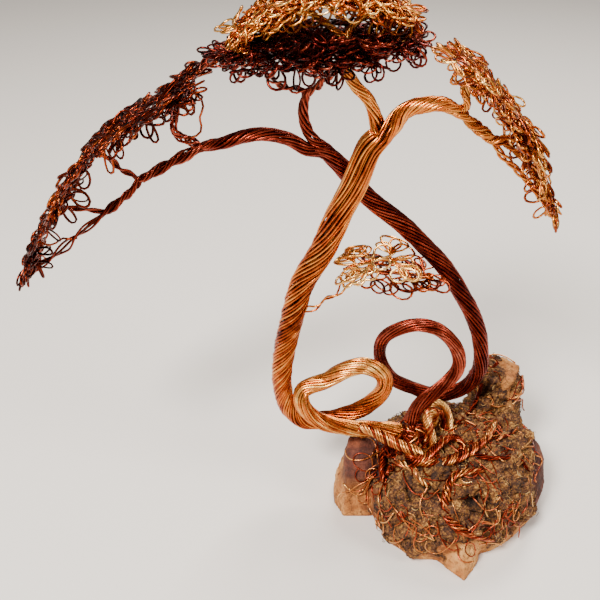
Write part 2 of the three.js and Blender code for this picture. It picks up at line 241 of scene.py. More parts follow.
root_copper = drawn_copper(
    "drawn_copper_roots", ["#3c0c06", "#74200f", "#a8452a", "#d08040", "#ecb468"], "#240804", (0.24, 0.40)
)
print("copper materials:", [m.name for m in bpy.data.materials if "copper" in m.name])

# %% [markdown]
# ## How a wire is laid
# A wire is a round bar that follows a line. A curve object with a bevel would do for one
# wire, but here some hundred wires lie side by side in twisted bundles, split at the forks
# and end at the tips, and each one needs a tone of its own. So a small helper sweeps a
# ring of points along each line and closes both ends, and keeps everything in one mesh.
# The ring is carried along the line without spinning, which keeps the wire from creasing.

# %% Helpers that smooth a route and sweep a wire along it


def smooth_route(points, step=STEP):
    """A smooth line through the points, with even steps. Its corners are rounded evenly."""
    given = np.array(points, float)
    given = np.vstack([2 * given[0] - given[1], given, 2 * given[-1] - given[-2]])
    line = []
    for a, b, c, d in zip(given, given[1:], given[2:], given[3:]):
        gaps = [max(np.linalg.norm(q - p), 1e-6) ** 0.5 for p, q in ((a, b), (b, c), (c, d))]
        leave = ((b - a) / gaps[0] - (c - a) / (gaps[0] + gaps[1]) + (c - b) / gaps[1]) * gaps[1]
        reach = ((c - b) / gaps[1] - (d - b) / (gaps[1] + gaps[2]) + (d - c) / gaps[2]) * gaps[1]
        t = np.linspace(0, 1, 12, endpoint=False)[:, None]
        line.append(
            (2 * t**3 - 3 * t**2 + 1) * b + (t**3 - 2 * t**2 + t) * leave
            + (3 * t**2 - 2 * t**3) * c + (t**3 - t**2) * reach
        )
    line = np.vstack([*line, given[-2:-1]])
    far = np.concatenate([[0], np.cumsum(np.linalg.norm(np.diff(line, axis=0), axis=1))])
    places = np.linspace(0, far[-1], max(2, round(far[-1] / step)) + 1)
    return np.stack([np.interp(places, far, line[:, k]) for k in range(3)], axis=1)


def frames(line):
    """For each point of a line: the way it runs, and two directions square to that."""
    ahead = np.gradient(line, axis=0)
    ahead /= np.maximum(np.linalg.norm(ahead, axis=1), 1e-9)[:, None]
    start = np.cross(ahead[0], (0, 1, 0) if abs(ahead[0][1]) < 0.9 else (1, 0, 0))
    square = np.empty_like(line)
    square[0] = unit(start)
    for i in range(1, len(line)):
        square[i] = unit(square[i - 1] - ahead[i] * np.dot(square[i - 1], ahead[i]))
    return ahead, square, np.cross(ahead, square)


class WireMesh:
    """Gathers lengths of wire, and turns them into one piece."""

    def __init__(self):
        self.points, self.faces, self.tone, self.depth, self.count = [], [], [], [], 0

    def put(self, points, faces, tone, depth):
        """Adds ready points and faces."""
        self.points.append(points)
        self.faces += [[self.count + i for i in face] for face in faces]
        self.tone.append(np.broadcast_to(tone, len(points)))
        self.depth.append(np.broadcast_to(depth, len(points)))
        self.count += len(points)

    def lay(self, line, wire, tone=0.5, depth=0.0, sides=6):
        """Lays one wire along a line, closed at both ends."""
        line = np.asarray(line, float)
        _, square, side = frames(line)
        turn = np.linspace(0, 2 * math.pi, sides, endpoint=False)[None, :, None]
        ring = np.cos(turn) * square[:, None, :] + np.sin(turn) * side[:, None, :]
        radius = np.broadcast_to(wire / 2, len(line))[:, None, None]
        points = (line[:, None, :] + radius * ring).reshape(-1, 3)
        faces = [
            [i * sides + j, i * sides + (j + 1) % sides, (i + 1) * sides + (j + 1) % sides,
                (i + 1) * sides + j]
            for i in range(len(line) - 1)
            for j in range(sides)
        ]
        faces += [list(range(sides))[::-1], [len(points) - sides + j for j in range(sides)]]
        tone = np.repeat(np.broadcast_to(tone, len(line)), sides)
        depth = np.repeat(np.broadcast_to(depth, len(line)), sides)
        self.put(points, faces, tone, depth)

    def piece(self, name, material, nodes, slot):
        """The finished piece, which stands for the named solids."""
        points = np.clip(np.vstack(self.points), LOW, HIGH) * MM
        data = bpy.data.meshes.new(name)
        data.from_pydata(points.tolist(), [], self.faces)
        data.polygons.foreach_set("use_smooth", [True] * len(data.polygons))
        # depth is kept for the painted shade of wires inside a bundle
        for key, values in (("tone", self.tone), ("depth", self.depth)):
            data.attributes.new(key, "FLOAT", "POINT").data.foreach_set("value", np.concatenate(values))
        data.materials.append(material)
        made = bpy.data.objects.new(name, data)
        bpy.context.scene.collection.objects.link(made)
        hand_over(made, nodes)
        return made


def hand_over(piece, nodes):
    """Says what a finished piece rides on, and hides the solids that it stands for."""
    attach(piece, "root")
    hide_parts(*nodes)
    triangles = sum(len(p.vertices) - 2 for p in piece.data.polygons)
    print(piece.name, triangles, "triangles")


print("points along a 12 mm wire:", len(smooth_route([(0, 0, 0), (6, 0, 0), (12, 0, 0)])))

# %% [markdown]
# ## Bundles that fork
# Each trunk is one bundle of wires from its root to the tips of its twigs, and no wire is
# cut at a fork: the bundle is parted, and each part is twisted on by itself. The helpers
# below do the same. A branch is a route with radii, a length per full twist, and the rings
# of wires that it is packed in. At a fork, each following branch takes the wires that lie
# on its own side, and they slide to their new places over about 14 mm.

# %% Helpers that part and twist a bundle


def branch(route, radii, rings, turns, loose, then=(), strands=1):
    """A branch: its route, radii, rings of wires, turns per 100 mm, looseness, and what follows."""
    return {
        "route": route, "radii": radii, "rings": rings, "turns": turns, "loose": loose, "then": list(then),
        "strands": strands,
    }


def packed(rings, strands=1):
    """The places of the wires in a bundle, as shares of its radius. Strands part it in two or three."""
    places = []
    start = 0 if rings[0] == 1 else 0.7
    for i, count in enumerate(rings):
        radius = (i + start) / (len(rings) - 1 + start) if len(rings) > 1 or start else 0
        for k in range(count):
            turn = 2 * math.pi * (k / count + 0.31 * i)
            places.append((radius * math.cos(turn), radius * math.sin(turn)))
    if strands == 1:
        return np.array(places)
    turns = [2 * math.pi * k / strands for k in range(strands)]
    share = 0.5 if strands == 2 else 0.46
    return np.array([((1 - share) * math.cos(t) + share * x,
        (1 - share) * math.sin(t) + share * y) for t in turns for x, y in places])


def spin(part_of_tree, line_length):
    """How far a branch has turned at each step, in radians. Its turns are given per 100 mm."""
    turns = between(part_of_tree["turns"], np.linspace(0, 1, line_length))
    return np.cumsum(2 * math.pi * turns / 100 * STEP)


def part(limb, wires, before, turned):
    """Gives each wire its place in this branch, then parts the bundle among the next ones."""
    places = packed(limb["rings"], limb["strands"])
    if not wires:
        wires = [{"places": [], "route": [], "branches": []} for _ in places]
        order = range(len(places))
    else:
        middle = np.mean([w["places"][-1] for w in wires], axis=0)
        free = list(range(len(wires)))
        order = [0] * len(wires)
        for slot in range(len(places) - 1, -1, -1):
            near = min(
                free, key=lambda i: np.linalg.norm((wires[i]["places"][-1] - middle) * 1.4 - places[slot])
            )
            free.remove(near)
            order[slot] = near
    for slot, index in enumerate(order):
        wires[index]["places"].append(places[slot])
        wires[index]["branches"].append(limb)
    route = before + limb["route"]
    line = smooth_route(route)
    steps = len(smooth_route(limb["route"]))
    turned += spin(limb, steps)[-1]
    ahead, square, side = (v[-1] for v in frames(line))
    rest = list(wires)
    for following in limb["then"]:
        aim = unit(np.array(following["route"][min(2, len(following["route"]) - 1)]) - line[-1])
        flat = np.array([aim @ square, aim @ side])
        back = np.array([[math.cos(turned), math.sin(turned)], [-math.sin(turned), math.cos(turned)]])
        rest.sort(key=lambda w: -(w["places"][-1] @ (back @ flat)))
        taken = rest[: sum(following["rings"]) * following["strands"]]
        rest = rest[len(taken) :]
        part(following, taken, route, turned)
    if not limb["then"]:
        for wire in wires:
            wire["route"] = route
    return wires


def lay_bundle(mesh, trunk, wire, rng, tones, fade=(0, 0)):
    """Lays all the wires of a forked bundle. Fade changes their tone from the foot to the tips."""
    lines = {}
    for strand in part(trunk, [], [], 0.0):
        key = id(strand["branches"][-1])
        if key not in lines:
            line = smooth_route(strand["route"])
            lines[key] = (line, *frames(line))
        line, _, square, side = lines[key]
        along = np.arange(len(line)) * STEP
        start, turned = 0, np.zeros(len(line))
        offset = None
        depth = np.zeros(len(line))
        loose = np.zeros(len(line))
        for limb, place in zip(strand["branches"], strand["places"]):
            last = len(line) if limb is strand["branches"][-1] else None
            if last is None:
                fork = np.array(limb["route"][-1])
                last = start + 1 + int(np.argmin(np.linalg.norm(line[start + 1 :] - fork, axis=1)))
            steps = last - start
            angle = spin(limb, steps)
            turned[start:last] = angle + (turned[start - 1] if start else 0)
            turned[last:] = turned[last - 1]
            share = np.clip((np.arange(len(line)) - start) / max(steps - 1, 1), 0, 1)
            reach = between(limb["radii"], share) - wire / 2
            target = reach[:, None] * place
            # how far inside its bundle a wire lies, which sets its painted shade
            buried = 1 - min(1, np.linalg.norm(place) ** 2)
            if offset is None:
                offset, depth = target, depth + buried
                loose += limb["loose"]
            else:
                blend = np.clip((along - along[start] + 4) / 14, 0, 1)
                blend = blend**2 * (3 - 2 * blend)
                offset = offset * (1 - blend)[:, None] + target * blend[:, None]
                depth = depth * (1 - blend) + buried * blend
                loose = loose * (1 - blend) + limb["loose"] * blend
            start = last
        for k in range(2):
            for wave in (17, 29, 47):
                offset[:, k] += loose * 0.5 * np.sin(2 * math.pi * (along / (wave * rng.uniform(0.8,
                    1.2)) + rng.random()))
        cos, sin = np.cos(turned)[:, None], np.sin(turned)[:, None]
        across = offset[:, :1] * cos - offset[:, 1:] * sin
        up = offset[:, :1] * sin + offset[:, 1:] * cos
        end = len(line) - rng.integers(0, 3)
        path = (line + across * square + up * side)[:end]
        tone = rng.choice(tones) + rng.uniform(-0.06, 0.06) + between(fade, np.linspace(0, 1, len(line)))
        # depth makes the inner wires darker, as painted shade
        mesh.lay(path, wire, tone=tone[:end], depth=0.75 * depth[:end])


print("places in a bundle of rings 1 and 6:", len(packed((1, 6))))

# %% [markdown]
# ## The bright trunk
# Thirty-eight bright wires start in the knot of roots, run left along the wood, round the
# corner and through one loop, and then climb as a loose column. At the top fifteen go up to
# the crown and twenty-three lean out to the right. The twist is slow in the loop, a full turn
# in about 80 mm, tightest low in the column, one in about 30 mm, and nearly gone at the fork.
# The wires are most golden in the loop and at the tips, and reddest low in the column.
# This is partly their own tarnish and partly painted light: the top of the loop is
# painted lighter, and its inner side and the low corner of the column are painted darker.

# %% Lay the bright wires
BRIGHT_TRUNK = [
    (-21, -4, 35), (-30, -5, 37), (-43, -5, 38), (-54, -4, 41), (-60, -3, 48), (-60, -1, 53), (-51, 0, 57),
    (-44, 0, 62), (-37, 0, 64), (-30, 1, 60), (-28, 2, 53), (-31, 3, 46), (-38, 4, 39), (-48, 4, 35),
    (-59, 4, 34), (-65, 4, 40), (-68, 3, 52), (-67, 2, 69), (-64, 1, 85), (-60, 0, 101), (-53, -1, 115),
    (-48, -3, 129), (-43, -4, 141), (-39, -4, 153), (-35, -4, 158),
]
bright_twigs = [
    branch([(5, -6, 157), (10, -6, 156), (15, -5, 151)], (1.5, 1.2), (3,), (-9, -10), 0.15, strands=2),
    branch([(3, -6, 152), (8, -6, 147), (14, -7, 141), (19, -7, 135), (23, -7, 130)], (1.3, 1.2, 0.9), (3,),
        (-8, -9), 0.25),
    branch([(4, -5, 155), (9, -5, 151), (15, -5, 145), (20, -5, 140)], (1.5, 1.1), (3,), (-9, -10), 0.15,
        strands=2),
]
bright_right = branch(
    [(-32, -4, 161), (-28, -5, 166), (-22, -6, 168), (-17, -6, 168), (-12, -6, 166)],
    (2.8, 2.7, 2.5, 2.3), (1, 8, 14), (-2.0, -3.6, -4.2), 0.14,
    [
        branch([(-10, -6, 169), (-11, -6, 173), (-9, -4, 178), (-12, -4, 182)], (1.9, 1.6, 1.2), (4,),
            (-8, -9), 0.1, strands=2),
        branch([(-9, -6, 163), (-5, -6, 160), (-1, -6, 157)], (2.3, 2.1), (5,), (-7, -8), 0.12,
            bright_twigs, strands=3),
    ],
)
bright_up = branch(
    [(-36.5, -4, 161), (-40, -4, 169), (-44, -3, 173), (-47, -2, 178), (-47, -1, 185)],
    (2.2, 1.95, 1.9, 1.8), (5, 10), (-2.0, -3.4, -4.0), 0.1,
    [
        branch([(-52, 0, 190), (-59, 0, 194), (-66, 1, 193)], (1.5, 1.1), (3,), (-9, -10), 0.1, strands=2),
        branch([(-45, 0, 190), (-39, 0, 194), (-32, 0, 192)], (1.6, 1.1), (3,), (-8, -9), 0.1, strands=3),
    ],
)
bright_tree = branch(
    BRIGHT_TRUNK, (3.2, 3.2, 3.3, 3.5, 4.2, 4.6, 4.2), (1, 6, 12, 19),
    (1.0, 1.0, 1.2, 1.4, 1.4, 2.2, 3.2, 3.0, 1.8, 0.6, 0.2), 0.18, [bright_up, bright_right],
)
rng = np.random.default_rng(3)
mesh = WireMesh()
# tone along the bright wires: partly tarnish, partly a painted highlight on the loop top and painted shade
# on its inner side and the low corner
BRIGHT_TARNISH_AND_LIGHT = (0.08, 0.04, 0, 0.12, 0.2, 0, -0.12, -0.1, -0.08, -0.14, -0.12, -0.05, 0, 0, 0.02, 0.06, 0.1)
lay_bundle(mesh, bright_tree, BRIGHT_WIRE, rng, (0.4, 0.47, 0.54, 0.62), BRIGHT_TARNISH_AND_LIGHT)
mesh.piece(
    "bright_tree_wires", bright_copper, ["bright_trunk", "bright_upper_branch", "bright_right_branch"],
    "copper_bright"
)

# %% [markdown]
# ## The brown trunk
# Twenty-seven darker wires rise behind the knot, make a loop to the right and cross
# behind the bright column. Ten go on up to the crown, and the rest run out to the left
# in a long falling branch that gives off twigs on its way. They are lightest near the roots
# and at the left tips, and darkest where the trunk climbs on the right.

# %% Lay the brown wires
BROWN_TRUNK = [
    (-18, -3, 39), (-15, -2, 46), (-10, -2, 52), (-4, -1, 58), (-1, 0, 63), (-1, 1, 68), (-4, 2, 74),
    (-10, 3, 79), (-17, 4, 80), (-23, 5, 78), (-29, 6, 73), (-30, 8, 63), (-25, 9, 52), (-15, 9, 46),
    (-5, 9, 43), (5, 8, 48), (9, 7, 57), (8, 6, 70), (4, 6, 82), (-3, 5, 95), (-9, 5, 104),
    (-16, 5, 112), (-26, 5, 122), (-37, 5, 131), (-46, 4, 142), (-53, 4, 149),
]
left_end = branch(
    [(-116, -2, 138), (-126, -3, 130)], (1.7, 1.5), (4,), (-8, -7), 0.15,
    [
        branch([(-132, -3, 131), (-140, -3, 132)], (1.2, 0.9), (2,), (-7, -8), 0.2, strands=2),
        branch([(-137, -3, 121), (-146, -3, 113), (-152, -3, 109), (-157, -3, 104)], (1.3, 1.9, 1.2), (2,),
            (-4, -4), 0.2, strands=2),
    ],
    strands=2,
)
left_middle = branch(
    [(-96, 0, 150), (-106, -1, 145), (-112, -2, 142)], (2.3, 2.0), (1, 5), (-5, -6), 0.12,
    [branch([(-118, -2, 144), (-123, -2, 149), (-128, -2, 152)], (1.4, 1.1), (2,), (-10, -10), 0.2,
      strands=2), left_end],
    strands=2,
)
brown_left = branch(
    [(-59, 3, 150), (-64, 3, 153), (-71, 3, 155), (-78, 2, 155), (-85, 1, 153), (-90, 1, 152)],
    (2.4, 2.3, 2.3, 2.1), (1, 5, 11), (-1.6, -2.2, -3.4), 0.1,
    [branch([(-97, 0, 154), (-101, -1, 158), (-100, 0, 163), (-100, 0, 169)], (1.6, 1.4, 1.1), (5,),
      (-9, -9), 0.3), left_middle],
)
brown_up = branch(
    [(-56, 4.5, 152), (-59, 4, 157), (-60, 4, 163), (-59, 4, 168)], (2.0, 1.9, 1.8), (3, 7), (-4.4, -4.6),
    0.06,
    [
        branch([(-63, 3, 170), (-68, 2, 172), (-72, 1, 176), (-76, 1, 180)], (1.7, 1.5, 1.2), (2,),
            (-11, -11), 0.15, strands=2),
        branch([(-56, 3, 170), (-54, 2, 173), (-50, 1, 176), (-46, 2, 180)], (1.8, 1.6, 1.2), (3,),
            (-11, -11), 0.15, strands=2),
    ],
)
brown_tree = branch(
    BROWN_TRUNK, (2.9, 2.6, 2.5, 2.9, 3.1, 3.2, 3.0), (3, 9, 15), (-1.6, -1.0, -1.0, -1.2, -1.6, -1.8,
        -2.0), 0.12,
    [brown_up, brown_left],
)
rng = np.random.default_rng(4)
mesh = WireMesh()
BROWN_FADE = (0.15, 0.1, 0.04, 0.04, 0, -0.06, -0.1, -0.06, 0, 0.02, 0.05, 0.08)
lay_bundle(mesh, brown_tree, BROWN_WIRE, rng, (0.38, 0.44, 0.5, 0.57), BROWN_FADE)
mesh.piece("brown_tree_wires", brown_copper, ["dark_trunk", "dark_upper_branch", "dark_left_branch"],
    "copper_dark")

# %% [markdown]
# ## One leaf
# A leaf is a single loop of wire about 7 mm long, bent round a pin and twisted shut at its
# foot. It is bent once here, as a Bezier circle with its foot drawn to a point and a round
# bevel, and made a mesh. There are four bends of it, from a narrow prong to an open ring,
# and every leaf of the tree is a copy of one of them, so each has only 48 faces.

# %% Bend the leaf loops


def bent_leaf(name, length, width, bow):
    """One closed loop that reaches along X from the origin, as points and faces."""
    bpy.ops.object.select_all(action="DESELECT")
    bpy.ops.curve.primitive_bezier_circle_add(radius=length / 2)
    loop = bpy.context.object
    loop.name = name
    spline = loop.data.splines[0]
    knots = [(0, 0, 0), (0.66 * length, width / 2, bow), (length, 0, 0.2 * bow),
        (0.62 * length, -width / 2, 0.4 * bow)]
    for knot, place in zip(spline.bezier_points, knots):
        knot.co = place
        knot.handle_left_type = knot.handle_right_type = "AUTO"
    spline.bezier_points[0].handle_left_type = spline.bezier_points[0].handle_right_type = "VECTOR"
    loop.data.resolution_u = spline.resolution_u = 3
    loop.data.bevel_depth = LEAF_WIRE / 2
    loop.data.bevel_resolution = 0
    bpy.ops.object.convert(target="MESH")
    bpy.ops.object.mode_set(mode="EDIT")
    bpy.ops.mesh.select_all(action="SELECT")
    bpy.ops.mesh.remove_doubles(threshold=0.001)
    bpy.ops.mesh.normals_make_consistent(inside=False)
    bpy.ops.object.mode_set(mode="OBJECT")
    made = bpy.context.object
    points = np.array([v.co[:] for v in made.data.vertices])
    faces = [list(p.vertices) for p in made.data.polygons]
    bpy.data.objects.remove(made)
    print(name, len(points), "points", len(faces), "faces")
    return points, faces


LEAF_BENDS = [
    bent_leaf("leaf_long", 7.0, 3.6, 0.5),
    bent_leaf("leaf_round", 6.2, 4.8, 0.8),
    bent_leaf("leaf_prong", 7.8, 2.3, 0.3),
    bent_leaf("leaf_open", 7.6, 5.8, 1.2),
]

# %% [markdown]
# ## Leafy twigs
# A twig is two thin wires twisted together, a turn in 5 mm, with leaves along both sides
# and three at its tip. The leaves lie roughly in the sheet of the foliage pad that the
# twig belongs to, tilted a little each way by hand, and that is what makes a pad look
# thin from its edge and full from above.

# %% Helpers that lay leaves and twigs


def lay_leaf(mesh, rng, foot, aim, facing, size, tone, bends):
    """Copies one leaf to its place: foot is its twisted end, aim is where its tip points."""
    points, faces = LEAF_BENDS[rng.choice(len(LEAF_BENDS), p=bends)]
    aim = unit(aim)
    up = unit(facing - aim * np.dot(facing, aim))
    turned = np.stack([aim, np.cross(up, aim), up])
    mesh.put(points * size @ turned + foot, faces, tone, 0.0)


def twisted(mesh, line, wires, wire, pitch, tone, rng, sides=5, step=1.6):
    """A few wires twisted round a line. Three or more leave no room in the middle."""
    line = smooth_route(line, step)
    _, square, side = frames(line)
    ring = wire / 2 / max(math.sin(math.pi / wires), 0.5) * 0.96
    for k in range(wires):
        turn = (np.arange(len(line)) * step / pitch + k / wires)[:, None] * 2 * math.pi
        path = line + ring * (np.cos(turn) * square + np.sin(turn) * side)
        mesh.lay(path, wire, tone=np.clip(tone + rng.uniform(-0.15, 0.15), 0, 1), sides=sides)


def leafy_twig(mesh, rng, start, aim, facing, length, leaf, tones, bends, tilt=0.45, gap=1.9, droop=0.0):
    """A twisted pair with leaves along both sides and a fan of three at its tip."""
    aim = unit(aim)
    side = unit(np.cross(facing, aim))
    share = np.linspace(0, 1, 5)[:, None]
    curl = rng.uniform(-0.18, 0.18)
    line = start + length * (share * aim + curl * share**2 * side + droop * share**2 * unit(facing))
    twisted(mesh, line, 2, LEAF_WIRE * 0.92, 4.6, rng.uniform(*tones), rng, sides=4)
    line = smooth_route(line, 0.6)
    ahead = frames(line)[0]
    first = 0.12 * length
    stations = np.arange(first, length, gap)
    sign = rng.choice((-1, 1))
    for i, far in enumerate(stations):
        at = min(len(line) - 1, round(far / 0.6))
        spread = rng.uniform(0.5, 1.35)
        sign = -sign
        way = ahead[at] * math.cos(spread) + side * sign * math.sin(spread)
        way = way + unit(facing) * rng.normal(0, tilt * 0.6)
        face = unit(facing) + rng.normal(0, tilt, 3)
        lay_leaf(mesh, rng, line[at], way, face, leaf * rng.uniform(0.8, 1.12), rng.uniform(*tones), bends)
    for spread in (-0.6, 0.0, 0.6):
        way = ahead[-1] * math.cos(spread) + side * math.sin(spread) + unit(facing) * rng.normal(0,
            tilt * 0.4)
        face = unit(facing) + rng.normal(0, tilt, 3)
        lay_leaf(mesh, rng, line[-1], way, face, leaf * rng.uniform(0.85, 1.1), rng.uniform(*tones), bends)


def foliage(
    name, rib, half, seed, material, nodes, slot, tones, bends, spacing=3.4, leaf=1.0, tilt=0.45,
    lift=(0.0, 0.15), lean=(-0.55, 0.55), inset=0.0, front=1.0, gap=1.9, stems=(), hang=0, layers=1,
):
    """A foliage pad: a rib, twigs out to both sides of it, and loose leaves under it, drawn darker as
    painted shade.
    """
    rng = np.random.default_rng(seed)
    mesh = WireMesh()
    twisted(mesh, rib, 3, LEAF_WIRE, 6.5, 0.4, rng)
    for stem, wires in stems:
        twisted(mesh, stem, wires, LEAF_WIRE, 9, 0.45, rng)
    spine = smooth_route(rib, 1.0)
    ahead = frames(spine)[0]
    depth = np.array((0.0, 1.0, 0.0))
    rows = max(3, round(len(spine) / spacing))
    for layer in range(layers):
        for i in range(rows):
            share = min(0.99, (i + rng.uniform(0.2, 0.8)) / rows)
            at = int(share * (len(spine) - 1))
            facing = unit(np.cross(ahead[at], depth))
            facing = facing if facing[2] > 0 else -facing
            for out in (-1, 1):
                wide = between(half, share) * (front if out < 0 else 1.0)
                shift = inset * rng.random() * wide
                foot = spine[at] + facing * layer * 1.5 + out * depth * shift
                if shift > 1.5:
                    twisted(mesh, [spine[at], foot + ahead[at] * 0.5], 2, LEAF_WIRE * 0.92, 4.6, 0.4, rng,
                        sides=4)
                aim = out * depth * (1 - 0.55 * inset) + ahead[at] * rng.uniform(*lean)
                aim = aim + facing * rng.uniform(*lift)
                room = (wide * rng.uniform(0.8, 1.0) - shift - 6.0 * leaf) / max(0.35, abs(unit(aim)[1]))
                length = min(max(3.5, room), 17.0) * (1 - 0.3 * layer)
                leafy_twig(mesh, rng, foot, aim, facing, length, leaf, tones, bends, tilt, gap,
                    droop=rng.uniform(-0.16, 0.02))
    for i in range(hang):
        at = rng.integers(0, len(spine))
        facing = unit(np.cross(ahead[at], depth))
        facing = facing if facing[2] > 0 else -facing
        reach = rng.uniform(-0.9, 0.5) * (between(half, at / len(spine)) * front - 6)
        foot = spine[at] + depth * reach - facing * rng.uniform(0.0, 1.5)
        way = -facing * rng.uniform(0.5, 1.0) + ahead[at] * rng.normal(0, 0.6) + depth * rng.normal(0, 0.3)
        face = depth + rng.normal(0, 0.35, 3)
        # painted shade: the leaves under the pad get a lower tone, so they come out darker
        lay_leaf(mesh, rng, foot, way, face, leaf * rng.uniform(0.85, 1.15), rng.uniform(*tones) * 0.8,
            bends)
    return mesh.piece(name, material, nodes, slot)


MIXED = (0.36, 0.28, 0.2, 0.16)
EDGED = (0.42, 0.12, 0.42, 0.04)
OPEN = (0.2, 0.5, 0.0, 0.3)
print("leaf bends:", len(LEAF_BENDS))

# %% [markdown]
# ## The crown
# The crown is two pads, one above the other: a brown one on the brown trunk's stem, with
# loops that hang below it, and a golden heap of loops on the bright trunk's stem.

# %% Lay the two crown pads
foliage(
    "crown_brown_leaves",
    [(-80, 1, 181), (-71, 2, 182), (-60, 2, 182), (-50, 5, 182), (-40, 5, 183), (-27, 4, 184)],
    (18, 24, 26, 24, 18), 11, leaf_brown_copper, ["dark_top_leaves"], "copper_dark", (0.1, 0.6), MIXED,
    spacing=3.2, leaf=1.0, tilt=0.4, lift=(-0.1, 0.35), front=0.85, layers=2, hang=34,
    stems=[([(-57, 3, 174), (-57, 3, 177), (-56, 3, 180)], 4)],
)
foliage(
    "crown_bright_leaves",
    [(-79, 0, 187), (-70, 0, 193), (-60, 0, 197), (-49, 0, 198), (-38, 0, 196), (-27, 0, 191)],
    (17, 22, 24, 22, 17), 14, leaf_bright_copper, ["bright_top_leaves"], "copper_bright", (0.3, 0.8), MIXED,
    spacing=3.0, leaf=1.02, tilt=0.42, lift=(-0.2, 0.12), front=0.45, layers=2, hang=20,
)

# %% [markdown]
# ## The pads on the left branch
# Three pads of reddish loops lie end to end along the falling branch. They slope with it,
# so from the front they are seen nearly edge on.

# %% Lay the left pads
LEFT_PAD = {"spacing": 2.8, "leaf": 1.1, "tilt": 0.2, "lean": (-1.0, 1.0), "inset": 0.7,
    "lift": (-0.1, 0.06)}
foliage(
    "left_upper_leaves", [(-92, 0, 176), (-100, 0, 171), (-107, -1, 167), (-115, -1, 161)], (14, 17, 17), 6,
    leaf_red_copper, ["dark_left_upper_leaves"], "copper_dark", (0.05, 0.5), EDGED,
    **LEFT_PAD, hang=6,
    stems=[([(-100, 0, 166), (-100, 0, 171)], 3),
        ([(-97, 0, 154), (-93, 0, 158), (-92, 0, 165), (-95, 0, 173)], 1)],
)
foliage(
    "left_middle_leaves", [(-117, -1, 160), (-128, -2, 152), (-134, -2, 145), (-139, -3, 137)],
    (16, 17, 15), 10,
    leaf_red_copper, ["dark_left_middle_leaves"], "copper_dark", (0.05, 0.5), EDGED,
    **LEFT_PAD, hang=6, stems=[([(-122, -2, 148), (-128, -2, 152)], 2)],
)
foliage(
    "left_lower_leaves", [(-142, -3, 133), (-147, -3, 126), (-152, -3, 117), (-156, -3, 107)], (15, 12, 8),
    8,
    leaf_red_copper, ["dark_left_lower_leaves"], "copper_dark", (0.05, 0.5), EDGED,
    **LEFT_PAD, hang=4,
    stems=[([(-138, -3, 132), (-143, -3, 129), (-147, -3, 126)], 2),
        ([(-137, -3, 121), (-143, -3, 119), (-151, -3, 118)], 1)],
)

# %% [markdown]
# ## The right pad and the two inner sprays
# The right branch carries one long golden pad that falls to a pointed tip. A small cream
# spray and a dull brown one stand inside the tree, on thin stems from the two trunks.

# %% Lay the right pad and the inner sprays
foliage(
    "right_leaves",
    [(-12, -4, 182), (-6, -4, 178), (1, -5, 171), (8, -6, 162), (14, -6, 151), (19, -6, 141),
        (23, -6, 132)],
    (22, 23, 20, 16, 11, 8, 4), 17, leaf_bright_copper, ["bright_right_leaves"], "copper_bright",
    (0.2, 0.75), EDGED,
    spacing=2.2, leaf=1.0, tilt=0.24, lean=(-1.0, 1.0), inset=0.6, lift=(-0.3, 0.05), hang=12,
    stems=[([(-9, -4, 176), (-10, -4, 181)], 3), ([(10, -6, 156), (12, -6, 154)], 2)],
)
foliage(
    "inner_brown_leaves", [(-13, 4, 101), (-22, 4, 102), (-32, 4, 103), (-41, 3, 104)], (11, 14, 14), 1,
    leaf_red_copper, ["dark_inner_leaves"], "copper_dark", (0.2, 0.7), OPEN, spacing=7.0, leaf=1.2,
    tilt=0.12, gap=4.4,
    stems=[([(-4, 5, 95), (-9, 3, 99), (-14, 2, 101), (-22, 3, 102)], 1),
        ([(-2, 5, 97), (-9, 3, 101), (-18, 4, 102)], 1)],
)
foliage(
    "inner_bright_leaves", [(-46, -5, 109), (-36, -4, 112), (-25, -3, 112)], (12, 14), 23,
    leaf_bright_copper, ["bright_inner_leaves"], "copper_bright", (0.5, 0.85), OPEN, spacing=7.5, leaf=1.25,
    tilt=0.1, gap=4.6,
    stems=[([(-64, 0, 84), (-58, -4, 91), (-50, -5, 98), (-42, -5, 109)], 1),
        ([(-63, 0, 87), (-55, -5, 95), (-45, -6, 102), (-36, -5, 110)], 1)],
)

# %% [markdown]
# ## The burl
# The base is a burl, a knotty growth of wood, broken rather than sawn, with a cut face
# only underneath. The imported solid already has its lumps, but its facets are flat. A copy
# of it is remeshed to an even skin and smoothed, and the deep holes are pressed in. Its
# roughness could be sculpted by hand, but displacement gives the same every time the file
# is run: low soft waves on the bare wood, deep crags where the crumb lies.

# %% Copy the burl and give it a fine even skin


def copy_of(node, name, voxel, smoothing):
    """A copy of a solid with its facets melted into an even skin of small faces."""
    bpy.ops.object.select_all(action="DESELECT")
    made = bpy.data.objects.new(name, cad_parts[node].data.copy())
    bpy.context.scene.collection.objects.link(made)
    made.select_set(True)
    bpy.context.view_layer.objects.active = made
    made.data.materials.clear()
    bpy.ops.object.mode_set(mode="EDIT")
    bpy.ops.mesh.select_all(action="SELECT")
    bpy.ops.mesh.remove_doubles(threshold=0.000001)
    bpy.ops.object.mode_set(mode="OBJECT")
    remesh = made.modifiers.new("skin", "REMESH")
    remesh.mode = "VOXEL"
    remesh.voxel_size = voxel * MM
    bpy.ops.object.modifier_apply(modifier="skin")
    soften = made.modifiers.new("soften", "SMOOTH")
    soften.iterations = smoothing
    bpy.ops.object.modifier_apply(modifier="soften")
    print(name, len(made.data.vertices), "points after remeshing")
    return made


def places_of(piece):
    """All the points of a piece, in mm."""
    return np.array([v.co[:] for v in piece.data.vertices]) / MM


def eased(share):
    """A share kept between 0 and 1, with soft ends."""
    share = np.clip(share, 0, 1)
    return share**2 * (3 - 2 * share)


burl = copy_of("burl_base", "burl_wood", 0.7, 6)
burl_before = places_of(burl)

